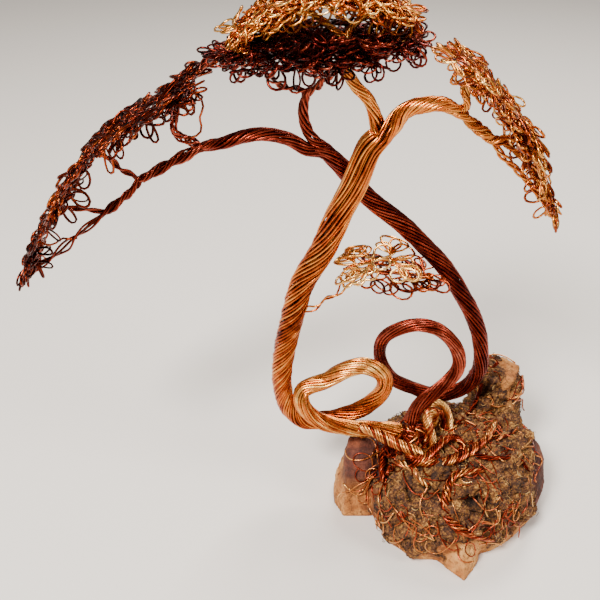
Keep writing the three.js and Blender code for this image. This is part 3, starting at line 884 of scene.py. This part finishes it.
# %% [markdown]
# Crumb and dry moss cover the middle of the burl. The foot on the left, the tip in front,
# the rim on the right and the ridge of the knob are bare. The edge between them is ragged,
# so noise about 7 mm wide is added to the distance from it. The share of crumb is kept on
# each point, as a vertex group for the displacement and as an attribute for the colour.

# %% Share the burl out between crumb and bare wood


def raggedness(points, size):
    """Smooth noise of a given size in mm, about -1 to 1, at each point."""
    return np.array([noise.fractal(Vector(p) / size, 0.7, 2.0, 3) for p in points])


def crumb_share(points):
    """How much crumb lies at each point of the burl, from 0 to 1."""
    x, y, z = points.T
    past_foot = x + 29.5 - 0.1 * (y + 10)
    past_tip = np.maximum.reduce([abs(x) - 8.5, y + 37.5, z - 11.5])
    past_rim = np.maximum.reduce([28 - x, -17 - y, y - 14])
    above_table = z - 5 + 0.35 * np.clip(-12 - x, 0, 12)
    off_ridge = np.maximum.reduce([42.0 - z, 21 - x]) + 1.5
    inside = np.minimum.reduce([past_foot, past_tip, past_rim, above_table, off_ridge])
    return eased(0.5 + (inside + 4.5 * raggedness(points, 7)) / 3)


def keep(piece, name, values):
    """Keeps one number for each point of a piece, for its material to read."""
    piece.data.attributes.new(name, "FLOAT", "POINT").data.foreach_set("value", values)


def group_points(piece, name, weights):
    """A vertex group, in steps of a tenth."""
    group = piece.vertex_groups.new(name=name)
    for tenth in range(11):
        group.add(np.nonzero(np.round(weights * 10) == tenth)[0].tolist(), tenth / 10, "REPLACE")


crumb = crumb_share(burl_before)
group_points(burl, "crumb", crumb)
group_points(burl, "bare", 1 - crumb)
print("share of the burl under crumb:", crumb.mean().round(2))

# %% [markdown]
# A Displace modifier pushes each point along its normal by a procedural texture. Its size
# is the real size of a lump, and its strength the real height from pit to peak. The vertex
# group keeps it to its own ground.

# %% Press in the holes and roughen the burl
HOLES = [
    # place, radius and depth
    ((-9, -23, 32), 6.5, 9), ((-19, -27, 24), 5.0, 5), ((29, 14, 39), 4.5, 5), ((14, 14, 42), 4.5, 4),
    ((3, -31, 27), 4.5, 4), ((19, -25, 26), 4.5, 4), ((-15, -34, 14), 4.5, 4), ((8, -37, 13), 4.0, 4),
]


def dented(points, normals):
    """The points with the holes pressed in."""
    points = points.copy()
    for place, radius, deep in HOLES:
        share = eased(1.0 - np.linalg.norm(points - np.array(place), axis=1) / radius)
        points -= normals * (share * deep)[:, None]
    return points


def displaced(piece, kind, size, height, middle=0.5, ground="", **settings):
    """Pushes the skin in and out by a procedural pattern of a real size in mm."""
    pattern = bpy.data.textures.new(kind.lower(), kind)
    pattern.noise_scale = size * MM
    for name, value in settings.items():
        setattr(pattern, name, value)
    push = piece.modifiers.new("push", "DISPLACE")
    push.texture = pattern
    push.texture_coords = "LOCAL"
    push.strength = height * MM
    push.mid_level = middle
    push.vertex_group = ground
    bpy.context.view_layer.objects.active = piece
    bpy.ops.object.modifier_apply(modifier="push")


def press(piece):
    """Presses the holes into a piece."""
    normals = np.array([v.normal[:] for v in piece.data.vertices])
    piece.data.vertices.foreach_set("co", (dented(places_of(piece), normals) * MM).ravel())
    piece.data.update()


press(burl)
displaced(burl, "CLOUDS", 13, 4.0, 0.56, noise_depth=2)
displaced(burl, "CLOUDS", 2.4, 0.9, 0.5, "bare", noise_depth=2)
displaced(burl, "CLOUDS", 5.5, 5.5, 0.52, "crumb", noise_depth=2, contrast=1.4)
displaced(burl, "VORONOI", 2.8, 2.2, 0.42, "crumb")
displaced(burl, "CLOUDS", 1.5, 2.2, 0.5, "crumb", noise_depth=1)
print("holes pressed in:", len(HOLES))

# %% [markdown]
# The underside was cut flat, so what lies near it goes back to the table, and nothing
# leaves the solid's box. How far each point was pushed in is kept, so that the crumb
# can be painted dark in the hollows, as painted shade.

# %% Seat the burl and note its hollows


def settle(piece, before, low, high, seat=1.2):
    """Keeps a piece in its box and flat where it stands, and notes how deep each point lies."""
    after = places_of(piece)
    if seat:
        sits = np.clip((before[:, 2:3] - 0.3) / seat, 0, 1)
        after = before * (1 - sits) + after * sits
        after[before[:, 2] < 0.3, 2] = 0
    after = np.clip(after, np.array(low) / MM, np.array(high) / MM)
    piece.data.vertices.foreach_set("co", (after * MM).ravel())
    normals = np.array([v.normal[:] for v in piece.data.vertices])
    relief = ((after - before) * normals).sum(1)
    keep(piece, "relief", relief)
    piece.data.polygons.foreach_set("use_smooth", [True] * len(piece.data.polygons))
    piece.data.update()
    print(piece.name, "relief from", relief.min().round(2), "to", relief.max().round(2), "mm")


settle(burl, burl_before, *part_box("burl_base"))
keep(burl, "covered", crumb)
x, y, z = burl_before.T
stain = np.where(x < -24, eased((z - 11) / 9), eased((x - 24) / 4) * eased((16 - y) / 4))
keep(burl, "stain", stain)

# %% [markdown]
# ## Burl wood and crumb
# Burl is dense and dry here: tan to golden where it was broken clean, with dark specks
# under 1 mm and a few drying cracks, and red-brown where bark was. The crumb on it is a
# mat of bark dust and dead moss, brown and golden in flecks, with near-black painted
# shade between its grains and in its hollows.
# Both are unfinished, so they scatter light and hardly shine. Each colour is one function,
# because the burl shows both and the moss mat only the crumb.

# %% Make the wood and crumb materials


def bare_wood(made, place):
    """Broken burl wood: its colour, and the height of its grain."""
    # cloudy figure about 12 mm across, and fibres of about 1.5 mm
    figure = add(made, "ShaderNodeTexNoise", {"Vector": place, "Scale": 83, "Detail": 5, "Roughness": 0.65})
    tan = add(
        made, "ShaderNodeValToRGB", {"Fac": figure.outputs["Fac"]},
        stops=[(0.34, "#743a12"), (0.68, "#dca25c"), (0.46, "#a8642a"), (0.56, "#c68442")],
    )
    # red-brown bark where the attribute says so
    stain = add(made, "ShaderNodeAttribute", attribute_name="stain").outputs["Fac"]
    bark = add(
        made, "ShaderNodeValToRGB", {"Fac": figure.outputs["Fac"]}, stops=[(0.38, "#2a1008"),
            (0.66, "#84462a"), (0.5, "#58281a")]
    )
    wood = add(
        made, "ShaderNodeMix", {"Factor": stain, 6: tan.outputs["Color"], 7: bark.outputs["Color"]},
        data_type="RGBA"
    )
    # dark specks about 0.8 mm across
    specks = add(made, "ShaderNodeTexNoise", {"Vector": place, "Scale": 1150, "Detail": 2,
        "Roughness": 0.6})
    speck = add(
        made, "ShaderNodeMapRange", {"Value": specks.outputs["Fac"], "From Min": 0.55, "From Max": 0.68,
            "To Max": 0.75}
    )
    speckled = add(
        made, "ShaderNodeMix", {"Factor": speck.outputs["Result"], 6: wood.outputs[2],
            7: linear("#5a2c10")}, data_type="RGBA"
    )
    # drying cracks: the edges of cells about 17 mm wide, bent by noise, drawn 0.3 mm wide
    bent = add(made, "ShaderNodeTexNoise", {"Vector": place, "Scale": 160, "Detail": 3})
    swayed = add(
        made, "ShaderNodeVectorMath", {0: bent.outputs["Color"], 1: (0.012, 0.012, 0.012), 2: place},
        operation="MULTIPLY_ADD"
    )
    cells = add(
        made, "ShaderNodeTexVoronoi", {"Vector": swayed.outputs[0], "Scale": 60}, feature="DISTANCE_TO_EDGE"
    )
    crack = add(
        made, "ShaderNodeMapRange",
        {"Value": cells.outputs["Distance"], "From Min": 0.003, "From Max": 0.02, "To Min": 0.6,
            "To Max": 0.0},
    )
    cracked = add(
        made, "ShaderNodeMix", {"Factor": crack.outputs["Result"], 6: speckled.outputs[2],
            7: linear("#3a1a0a")},
        data_type="RGBA",
    )
    return cracked.outputs[2]


def dry_crumb(made, place):
    """Bark dust and dead moss: its colour, with painted shade in its hollows."""
    clumps = add(made, "ShaderNodeTexNoise", {"Vector": place, "Scale": 230, "Detail": 4,
        "Roughness": 0.65})
    grains = add(made, "ShaderNodeTexNoise", {"Vector": place, "Scale": 1250, "Detail": 3,
        "Roughness": 0.65})
    mixed = add(
        made, "ShaderNodeMix", {"Factor": 0.6, 2: clumps.outputs["Fac"], 3: grains.outputs["Fac"]},
        data_type="FLOAT"
    )
    # the dust's own browns and golds, with near-black stops as painted shade between the grains
    dust = add(
        made, "ShaderNodeValToRGB", {"Fac": mixed.outputs[0]},
        stops=[(0.36, "#1c0a04"), (0.66, "#d09a50"), (0.45, "#40200c"), (0.52, "#6e4018"),
            (0.59, "#9c6a2e")],
    )
    # painted shade: the crumb is drawn nearly black in every hollow
    relief = add(made, "ShaderNodeAttribute", attribute_name="relief").outputs["Fac"]
    hollow_shade = add(
        made, "ShaderNodeMapRange", {"Value": relief, "From Min": -5.0, "From Max": -0.8, "To Min": 0.85,
            "To Max": 0.0}
    )
    deep = add(
        made, "ShaderNodeMix", {"Factor": hollow_shade.outputs["Result"], 6: dust.outputs["Color"],
            7: linear("#120804")},
        data_type="RGBA",
    )
    return deep.outputs[2]


def gritty(made, place, colour, height, roughness):
    """The matte shader that both end in, with grit of about 0.7 mm."""
    grit = add(made, "ShaderNodeTexNoise", {"Vector": place, "Scale": 1400, "Detail": 4})
    bump = add(made, "ShaderNodeBump", {"Height": grit.outputs["Fac"], "Strength": 0.9,
        "Distance": height * MM})
    shader = add(
        made, "ShaderNodeBsdfPrincipled",
        {"Base Color": colour, "Roughness": roughness, "IOR": 1.45, "Normal": bump.outputs["Normal"]},
    )
    return surface(made, shader)


burl_wood = empty_material("burl_wood_broken")
place = add(burl_wood, "ShaderNodeTexCoord").outputs["Object"]
share = add(burl_wood, "ShaderNodeAttribute", attribute_name="covered").outputs["Fac"]
strewn = add(burl_wood, "ShaderNodeTexNoise", {"Vector": place, "Scale": 420, "Detail": 3})
spread = add(burl_wood, "ShaderNodeMath", {0: strewn.outputs["Fac"], 1: share}, operation="ADD")
covered = add(burl_wood, "ShaderNodeMapRange", {"Value": spread.outputs[0], "From Min": 0.86,
    "From Max": 1.06})
colour = add(
    burl_wood,
    "ShaderNodeMix",
    {"Factor": covered.outputs["Result"], 6: bare_wood(burl_wood, place), 7: dry_crumb(burl_wood, place)},
    data_type="RGBA",
)
gritty(burl_wood, place, colour.outputs[2], 0.5, 0.8)
burl.data.materials.append(burl_wood)
hand_over(burl, ["burl_base"])

# %% [markdown]
# ## The moss and crumb on the burl
# The thick mat on top of the burl is a copy of its solid, with the same holes and crags.

# %% Roughen the moss
moss = copy_of("moss_mat", "moss_crumb", 0.6, 3)
moss_before = places_of(moss)
press(moss)
displaced(moss, "CLOUDS", 5.5, 5.0, 0.5, noise_depth=2, contrast=1.4)
displaced(moss, "VORONOI", 2.6, 2.0, 0.42)
displaced(moss, "CLOUDS", 1.4, 2.0, 0.5, noise_depth=1)
settle(moss, moss_before, solid_low, solid_high, seat=0)
dry_moss = empty_material("dry_moss_and_crumb")
place = add(dry_moss, "ShaderNodeTexCoord").outputs["Object"]
gritty(dry_moss, place, dry_crumb(dry_moss, place), 0.6, 0.92)
moss.data.materials.append(dry_moss)
hand_over(moss, ["moss_mat"])

# %% [markdown]
# ## The fibres
# Short dry stalks stick out of the crumb everywhere. One is a thin bent bar of three
# sides, laid with a turn, a bend and a lift of its own, on points taken at random.

# %% Lay the fibres
rng = np.random.default_rng(21)
ground_points = np.vstack([places_of(burl)[crumb > 0.6], places_of(moss)])
ground_normals = np.array(
    [v.normal[:] for v, share in zip(burl.data.vertices,
      crumb) if share > 0.6] + [v.normal[:] for v in moss.data.vertices]
)
FIBRES = 2400
fibres = WireMesh()
for i in rng.choice(len(ground_points), FIBRES, replace=False):
    place, out = ground_points[i], ground_normals[i]
    along = unit(np.cross(out, rng.normal(0, 1, 3)))
    side = np.cross(out, along)
    share = np.linspace(-0.5, 0.5, 5)[:, None]
    rise = out * (0.2 + rng.uniform(-0.2, 0.7) * (0.5 - share) + rng.uniform(0, 0.8) * (0.5 - 2 * share**2))
    line = place + rise + rng.uniform(1.2, 3.4) * (share * along + rng.uniform(-1.4, 1.4) * share**2 * side)
    fibres.lay(line, rng.uniform(0.16, 0.36), tone=rng.random(), sides=3)
print("fibres laid:", FIBRES)

# %% [markdown]
# The stalks are one matte plant stuff, from straw to dark brown.

# %% Finish the fibres
moss_fibre = empty_material("dry_moss_fibre")
tone = add(moss_fibre, "ShaderNodeAttribute", attribute_name="tone").outputs["Fac"]
ramp = add(
    moss_fibre, "ShaderNodeValToRGB", {"Fac": tone},
    stops=[(0.0, "#1e0f07"), (1.0, "#c8a060"), (0.45, "#4e301a"), (0.8, "#8a6034")],
)
shader = add(
    moss_fibre, "ShaderNodeBsdfPrincipled", {"Base Color": ramp.outputs["Color"], "Roughness": 0.9,
        "IOR": 1.45}
)
surface(moss_fibre, shader)
fibres.piece("moss_fibres", moss_fibre, ["moss_mat"], "dry_moss")

# %% [markdown]
# ## The roots
# Below the knot the wires are twisted into ropes that grip the wood, some standing up in
# arches. Each is a bundle with its own number of wires and a short twist, laid close to the
# route of its solid, with ends buried in the knot or against the wood. A rope of
# mixed wires shows light and dark stripes.

# %% Lay the root ropes
STRIPED = (0.3, 0.62, 0.78, 0.9)
DARK = (0.1, 0.2, 0.3, 0.42)
RED = (0.2, 0.35, 0.5, 0.62)
PALE = (0.55, 0.8, 0.95)
ROOTS = [
    # route, radii, rings, turns in 100 mm, tones
    ([(-20, -4, 35), (-15, -3, 35), (-11, -6, 35), (-12, -11, 33)], (3.0, 1.6), (3, 9), 4, RED),
    ([(-38, -6.5, 39.5), (-33, -8, 38.6), (-29, -9.5, 37), (-25, -11, 35.4), (-21, -13, 35),
      (-17, -15, 34.5), (-13, -16.5, 33)],
     (2.0, 2.3, 2.5, 2.5, 2.2), (3, 9), 9, STRIPED),
    ([(-9, -11, 33), (-10, -10, 37), (-11.4, -9, 41.5), (-12.2, -8, 45), (-11, -6, 46.5), (-9, -4.5, 45),
      (-8.6, -3, 41), (-9, -2, 35)],
     (1.9, 2.0, 2.0), (3, 9), 10, STRIPED),
    ([(-12, -3, 39), (-11.5, -2, 44), (-9, 0, 46), (-6, 1, 45), (-3.3, 1, 42), (-1.9, 0, 38),
      (-1.4, -2, 33)],
     (1.5, 1.6, 1.6), (3, 7), 10, PALE),
    ([(-10, -1, 36), (-8.2, 0, 41), (-5.8, 0, 41.6), (-4.4, 0, 38.6), (-3.6, -2, 33)], (1.2, 1.2), (5,), 9,
     RED),
    ([(-18, -4, 38), (-19, -8, 34), (-19, -14, 32), (-18, -19, 33), (-13, -18.5, 34.5), (-10, -15.5, 35.5),
      (-7, -12.5, 36),
      (-4, -10, 36.5), (0, -8.5, 35.5), (2, -11, 34), (0, -14, 33)], (2.3, 2.2, 2.0, 1.6, 1.3), (3, 8), -9,
      RED),
    ([(-16, -19, 33), (-10, -21, 33.5), (-3, -19.5, 34.6), (1, -17.5, 34.8), (5, -15, 35.2),
      (9, -11.5, 35.8), (12, -8, 36),
      (15, -3, 36), (17, 1, 35)], (2.0, 2.1, 2.1, 1.8, 1.3), (3, 8), -10, RED),
    ([(11, -9.5, 36.4), (14, -5, 37.2), (16, -1, 37), (17.5, 2.5, 35)], (1.3, 1.0), (4,), -11, PALE),
    ([(4, -16, 34.2), (10, -18, 33.8), (15, -18, 33.8), (22, -16, 32.6)], (1.1, 0.8), (3,), -11, RED),
    ([(15, -9, 35.2), (20, -6, 34.8), (26, 0, 33.4)], (1.0, 0.8), (2,), -10, RED),
    ([(-22, -5, 34), (-26.5, -8, 30), (-28, -10, 27.5), (-28.5, -13, 26), (-29, -16, 24.5), (-28, -20, 22)],
     (2.4, 2.1, 1.7, 1.2), (1, 7), 9, DARK),
    ([(-20, -8, 33), (-23, -11, 31), (-25, -15, 28.5), (-27, -18, 25)], (1.6, 1.4), (1, 5), -10, RED),
    ([(-26, -14, 28), (-21.5, -19, 31.8), (-18.5, -21.5, 32), (-17, -24, 31), (-15.5, -26, 30),
      (-13, -28, 29)],
     (1.4, 1.6, 1.2), (4,), 10, STRIPED),
    ([(8, -23, 32.6), (2, -24.5, 33), (-3, -26, 32.8), (-5.5, -28.5, 31.4), (-7, -32, 28.8),
      (-7.5, -34.8, 25.2), (-6.5, -37.4, 22),
      (-3, -39.5, 20), (1, -40.5, 17.5), (6, -39.8, 14.5), (12, -37, 10)],
      (1.0, 1.4, 1.8, 1.8, 1.6, 1.1, 0.8), (1, 5), -10, RED),
    ([(3, -16, 35), (12, -18, 34), (22, -15, 32), (27, -19, 28)], (1.0, 0.8), (3,), -11, DARK),
    ([(-4, -4, 35), (5, 5, 34), (11, 13, 36), (15, 18, 45), (20, 21, 50)], (1.0, 0.8), (3,), 9, DARK),
]
rng = np.random.default_rng(31)
ropes = WireMesh()
for route, radii, rings, turns, tones in ROOTS:
    lay_bundle(ropes, branch(route, radii, rings, (turns, turns), 0.08), ROOT_WIRE, rng, tones)
print("ropes laid:", len(ROOTS))

# %% [markdown]
# Where all the bundles meet, their wires are knotted through each other. Each wire of the
# knot runs through a few places picked at random on a flattened ball.

# %% Knot the wires where the trunks begin
KNOTS = [
    # middle, reach each way and number of wires
    ((-17, -4, 33.5), (7.5, 6, 3.6), 34), ((-12, -12, 33), (7, 6, 2.4), 16), ((-24, -9, 31), (4, 6, 4), 12),
]
for middle, size, count in KNOTS:
    for i in range(count):
        start = rng.normal(0, 1, 3)
        side = rng.normal(0, 1, 3)
        turn = np.linspace(0, rng.uniform(2.5, 4.5), 7)[:, None]
        ball = np.cos(turn) * unit(start) + np.sin(turn) * unit(side - unit(start) * (side @ unit(start)))
        ball += rng.normal(0, 0.16, ball.shape)
        ropes.lay(smooth_route(np.array(middle) + ball * np.array(size), 1.2), ROOT_WIRE,
            rng.choice(RED + DARK), sides=5)
ropes.piece("root_ropes", root_copper, ["wire_roots"], "copper_roots")

# %% [markdown]
# ## The fine root wires
# From the ropes, single wires wander over the crumb, curl and lift at their ends. Some are
# laid along routes of their own, and the rest as by hand: a short step along the wood, a
# look at where its surface is, and the next step, with the way turning a little every
# time. They rest on a smooth skin through the crumb, so its grains half bury them.

# %% Find the ground that the wires rest on


def skin_of(*pieces):
    """One search tree over the faces of several pieces, given as points and faces."""
    points, faces = [], []
    for places, piece in pieces:
        faces += [[len(points) + i for i in p.vertices] for p in piece.data.polygons]
        points += (places * MM).tolist()
    return BVHTree.FromPolygons(points, faces)


def on_skin(points):
    """The nearest places on the ground and their outward ways, in mm."""
    found = [ground.find_nearest(Vector(p) * MM) for p in points]
    return np.array([f[0][:] for f in found]) / MM, np.array([f[1][:] for f in found])


ground = skin_of((burl_before, burl), (moss_before, moss))
print("ground found under the knot:", on_skin([(-10, -10, 34)])[0].round(1))

# %% [markdown]
# The wires are 0.4 to 0.65 mm thick, red-brown where they leave the knot and pale at their
# cut ends.

# %% Lay the fine wires over the wood


def smoothed(line, times=2):
    """A line with its corners rubbed off."""
    for _ in range(times):
        line = np.vstack([line[:1], (line[:-2] + 2 * line[1:-1] + line[2:]) / 4, line[-1:]])
    return line


def wander(start, way, steps, rng, turn, rise):
    """A wire that creeps over the wood from a start, waving and lifting as it goes."""
    place, out = (v[0] for v in on_skin([start]))
    way = unit(np.array(way, float))
    bend, line = 0.0, []
    for i in range(steps):
        bend = 0.75 * bend + rng.normal(0, turn)
        way = unit(way - out * np.dot(way, out))
        way = unit(way + np.cross(out, way) * bend)
        place, out = (v[0] for v in on_skin([place + way * 1.7]))
        share = i / steps
        line.append(place + out * (0.9 + rise * abs(math.sin(9.3 * share)) + 11 * rise * max(0,
            share - 0.8)))
    return smooth_route(smoothed(np.array(line)), 1.1)


def along_wood(route, lift=1.0):
    """A wire on a route of its own, laid down on the wood."""
    places, out = on_skin(smooth_route(route, 1.6))
    return smooth_route(smoothed(places + out * lift, 3), 1.1)


CURLS = [
    [(-26, -18, 21), (-26, -22, 20), (-25, -27, 19), (-22, -30, 17), (-19, -34, 14), (-15, -35, 13),
        (-10, -37, 12)],
    [(-27, -17, 21), (-29, -20, 17), (-29, -23, 14), (-26, -28, 14)],
    [(-14, -28, 26), (-16, -30, 22), (-15, -32, 20), (-12, -35, 17)],
    [(-1, -38, 17), (3, -38, 18), (5, -37, 20), (8, -36, 19), (11, -35, 17), (13, -34, 20), (11, -33, 23)],
    [(-19, -32, 16), (-19, -34, 12), (-22, -33, 7), (-25, -31, 5)],
    [(-25, -27, 13), (-25, -29, 9), (-28, -27, 3)],
    [(5, -38, 11), (10, -36, 9), (15, -33, 5)],
    [(-7, -37, 20), (-4, -39, 18), (1, -38, 15), (6, -37, 14)],
    [(-10, -29, 28), (-9, -31, 25), (-7, -34, 22)],
    [(9, -29, 29), (7, -32, 26), (6, -34, 23), (8, -35, 21)],
    [(21, 10, 32), (22, 0, 33), (16, -8, 34)],
    [(-24, -8, 29), (-31, -7, 27), (-36, -8, 25), (-41, -8, 24), (-42, -5, 26)],
    [(-30, -13, 20), (-34, -13, 17), (-37, -15, 13), (-41, -14, 13), (-43, -12, 15)],
    [(14, 24, 46), (18, 29, 47), (23, 29, 47), (28, 25, 47)],
    [(31, 22, 43), (32, 17, 40), (30, 14, 37), (25, 15, 37)],
    [(16, 18, 47), (12, 18, 44), (12, 15, 40), (12, 15, 35)],
    [(8, 13, 33), (11, 11, 33), (10, 6, 34), (7, 7, 34), (6, 10, 33), (8, 14, 33)],
    [(2, 7, 33), (3, 3, 33), (-1, -3, 34), (0, -8, 34)],
    [(16, -3, 34), (18, -7, 34), (22, -2, 33), (25, 0, 32), (28, -4, 31)],
    [(29, 13, 29), (34, 8, 27), (30, -4, 30), (25, -10, 31)],
    [(16, -15, 33), (22, -11, 32), (27, -13, 30), (21, -19, 30)],
    [(24, -12, 31), (28, -15, 28), (30, -17, 24), (27, -21, 22)],
]
rng = np.random.default_rng(47)
tendrils = WireMesh()
for route in CURLS:
    for i in range(rng.integers(1, 3)):
        line = along_wood(np.array(route) + rng.normal(0, 1.2 * i, (len(route), 3)), 1.1)
        tendrils.lay(line, rng.uniform(0.52, 0.66), tone=np.linspace(rng.uniform(0.3, 0.6), 0.85,
            len(line)), sides=5)
print("wires on routes of their own:", len(CURLS))

# %% [markdown]
# The rest of the fine wires start in seven patches of the wood and run away from the knot,
# each for a number of steps of its own.

# %% Let the other fine wires wander
# where they start: the middle and reach of a patch, and how many
PATCHES = [
    ((-8, -10, 34), (20, 15, 1), 46), ((-12, -31, 19), (14, 6, 7), 26), ((16, -12, 30), (14, 14, 2), 30),
    ((13, -32, 17), (12, 6, 6), 14), ((-28, -14, 20), (5, 8, 6), 16), ((20, 18, 40), (9, 8, 6), 12),
    ((4, 8, 33), (12, 8, 1), 14),
]
for middle, reach, count in PATCHES:
    for i in range(count):
        start = np.array(middle) + np.array(reach) * rng.uniform(-1, 1, 3)
        way = start - np.array((-10, -10, 34)) + rng.normal(0, 8, 3)
        line = wander(start, way, rng.integers(6, 17), rng, 0.33, rng.uniform(0.1, 0.8))
        first = rng.choice((0.1, 0.2, 0.3, 0.45, 0.6))
        tone = np.linspace(first, min(0.85, first + rng.uniform(0.05, 0.35)), len(line))
        tendrils.lay(line, rng.uniform(0.42, 0.6), tone=tone, sides=5)
tendrils.piece("root_tendrils", root_copper, ["wire_roots"], "copper_roots")

# %% [markdown]
# ## Floor and light
# The sculpture stands on a plain pale floor. One soft light from the front left
# gives the long bright streaks on the wires, a weaker one fills in from the right, a third
# lights it from behind, and the pale sky keeps the copper from going black between them.

# %% Set the floor and the lights
bpy.ops.object.select_all(action="DESELECT")
bpy.ops.mesh.primitive_plane_add(size=8)
floor = bpy.context.object
floor.name = "floor"
floor_paint = empty_material("floor_paint_matte")
surface(
    floor_paint,
    add(floor_paint, "ShaderNodeBsdfPrincipled", {"Base Color": linear("#ece2d6"), "Roughness": 0.9}),
)
floor.data.materials.append(floor_paint)

LIGHTS = [
    # place in m, width in m and power in W
    ((-0.42, -0.5, 0.8), 0.24, 17), ((0.6, -0.3, 0.55), 0.3, 4), ((0.15, 0.5, 0.8), 0.3, 7),
]
TREE_MIDDLE = Vector((-0.04, 0, 0.1))
for place, size, power in LIGHTS:
    aim = TREE_MIDDLE - Vector(place)
    bpy.ops.object.light_add(type="AREA", location=place, rotation=aim.to_track_quat("-Z", "Y").to_euler())
    bpy.context.object.data.size = size
    bpy.context.object.data.energy = power
world = bpy.data.worlds.new("pale_sky")
world.use_nodes = True
world.node_tree.nodes["Background"].inputs["Color"].default_value = linear("#e4e0dc")
world.node_tree.nodes["Background"].inputs["Strength"].default_value = 0.36
bpy.context.scene.world = world
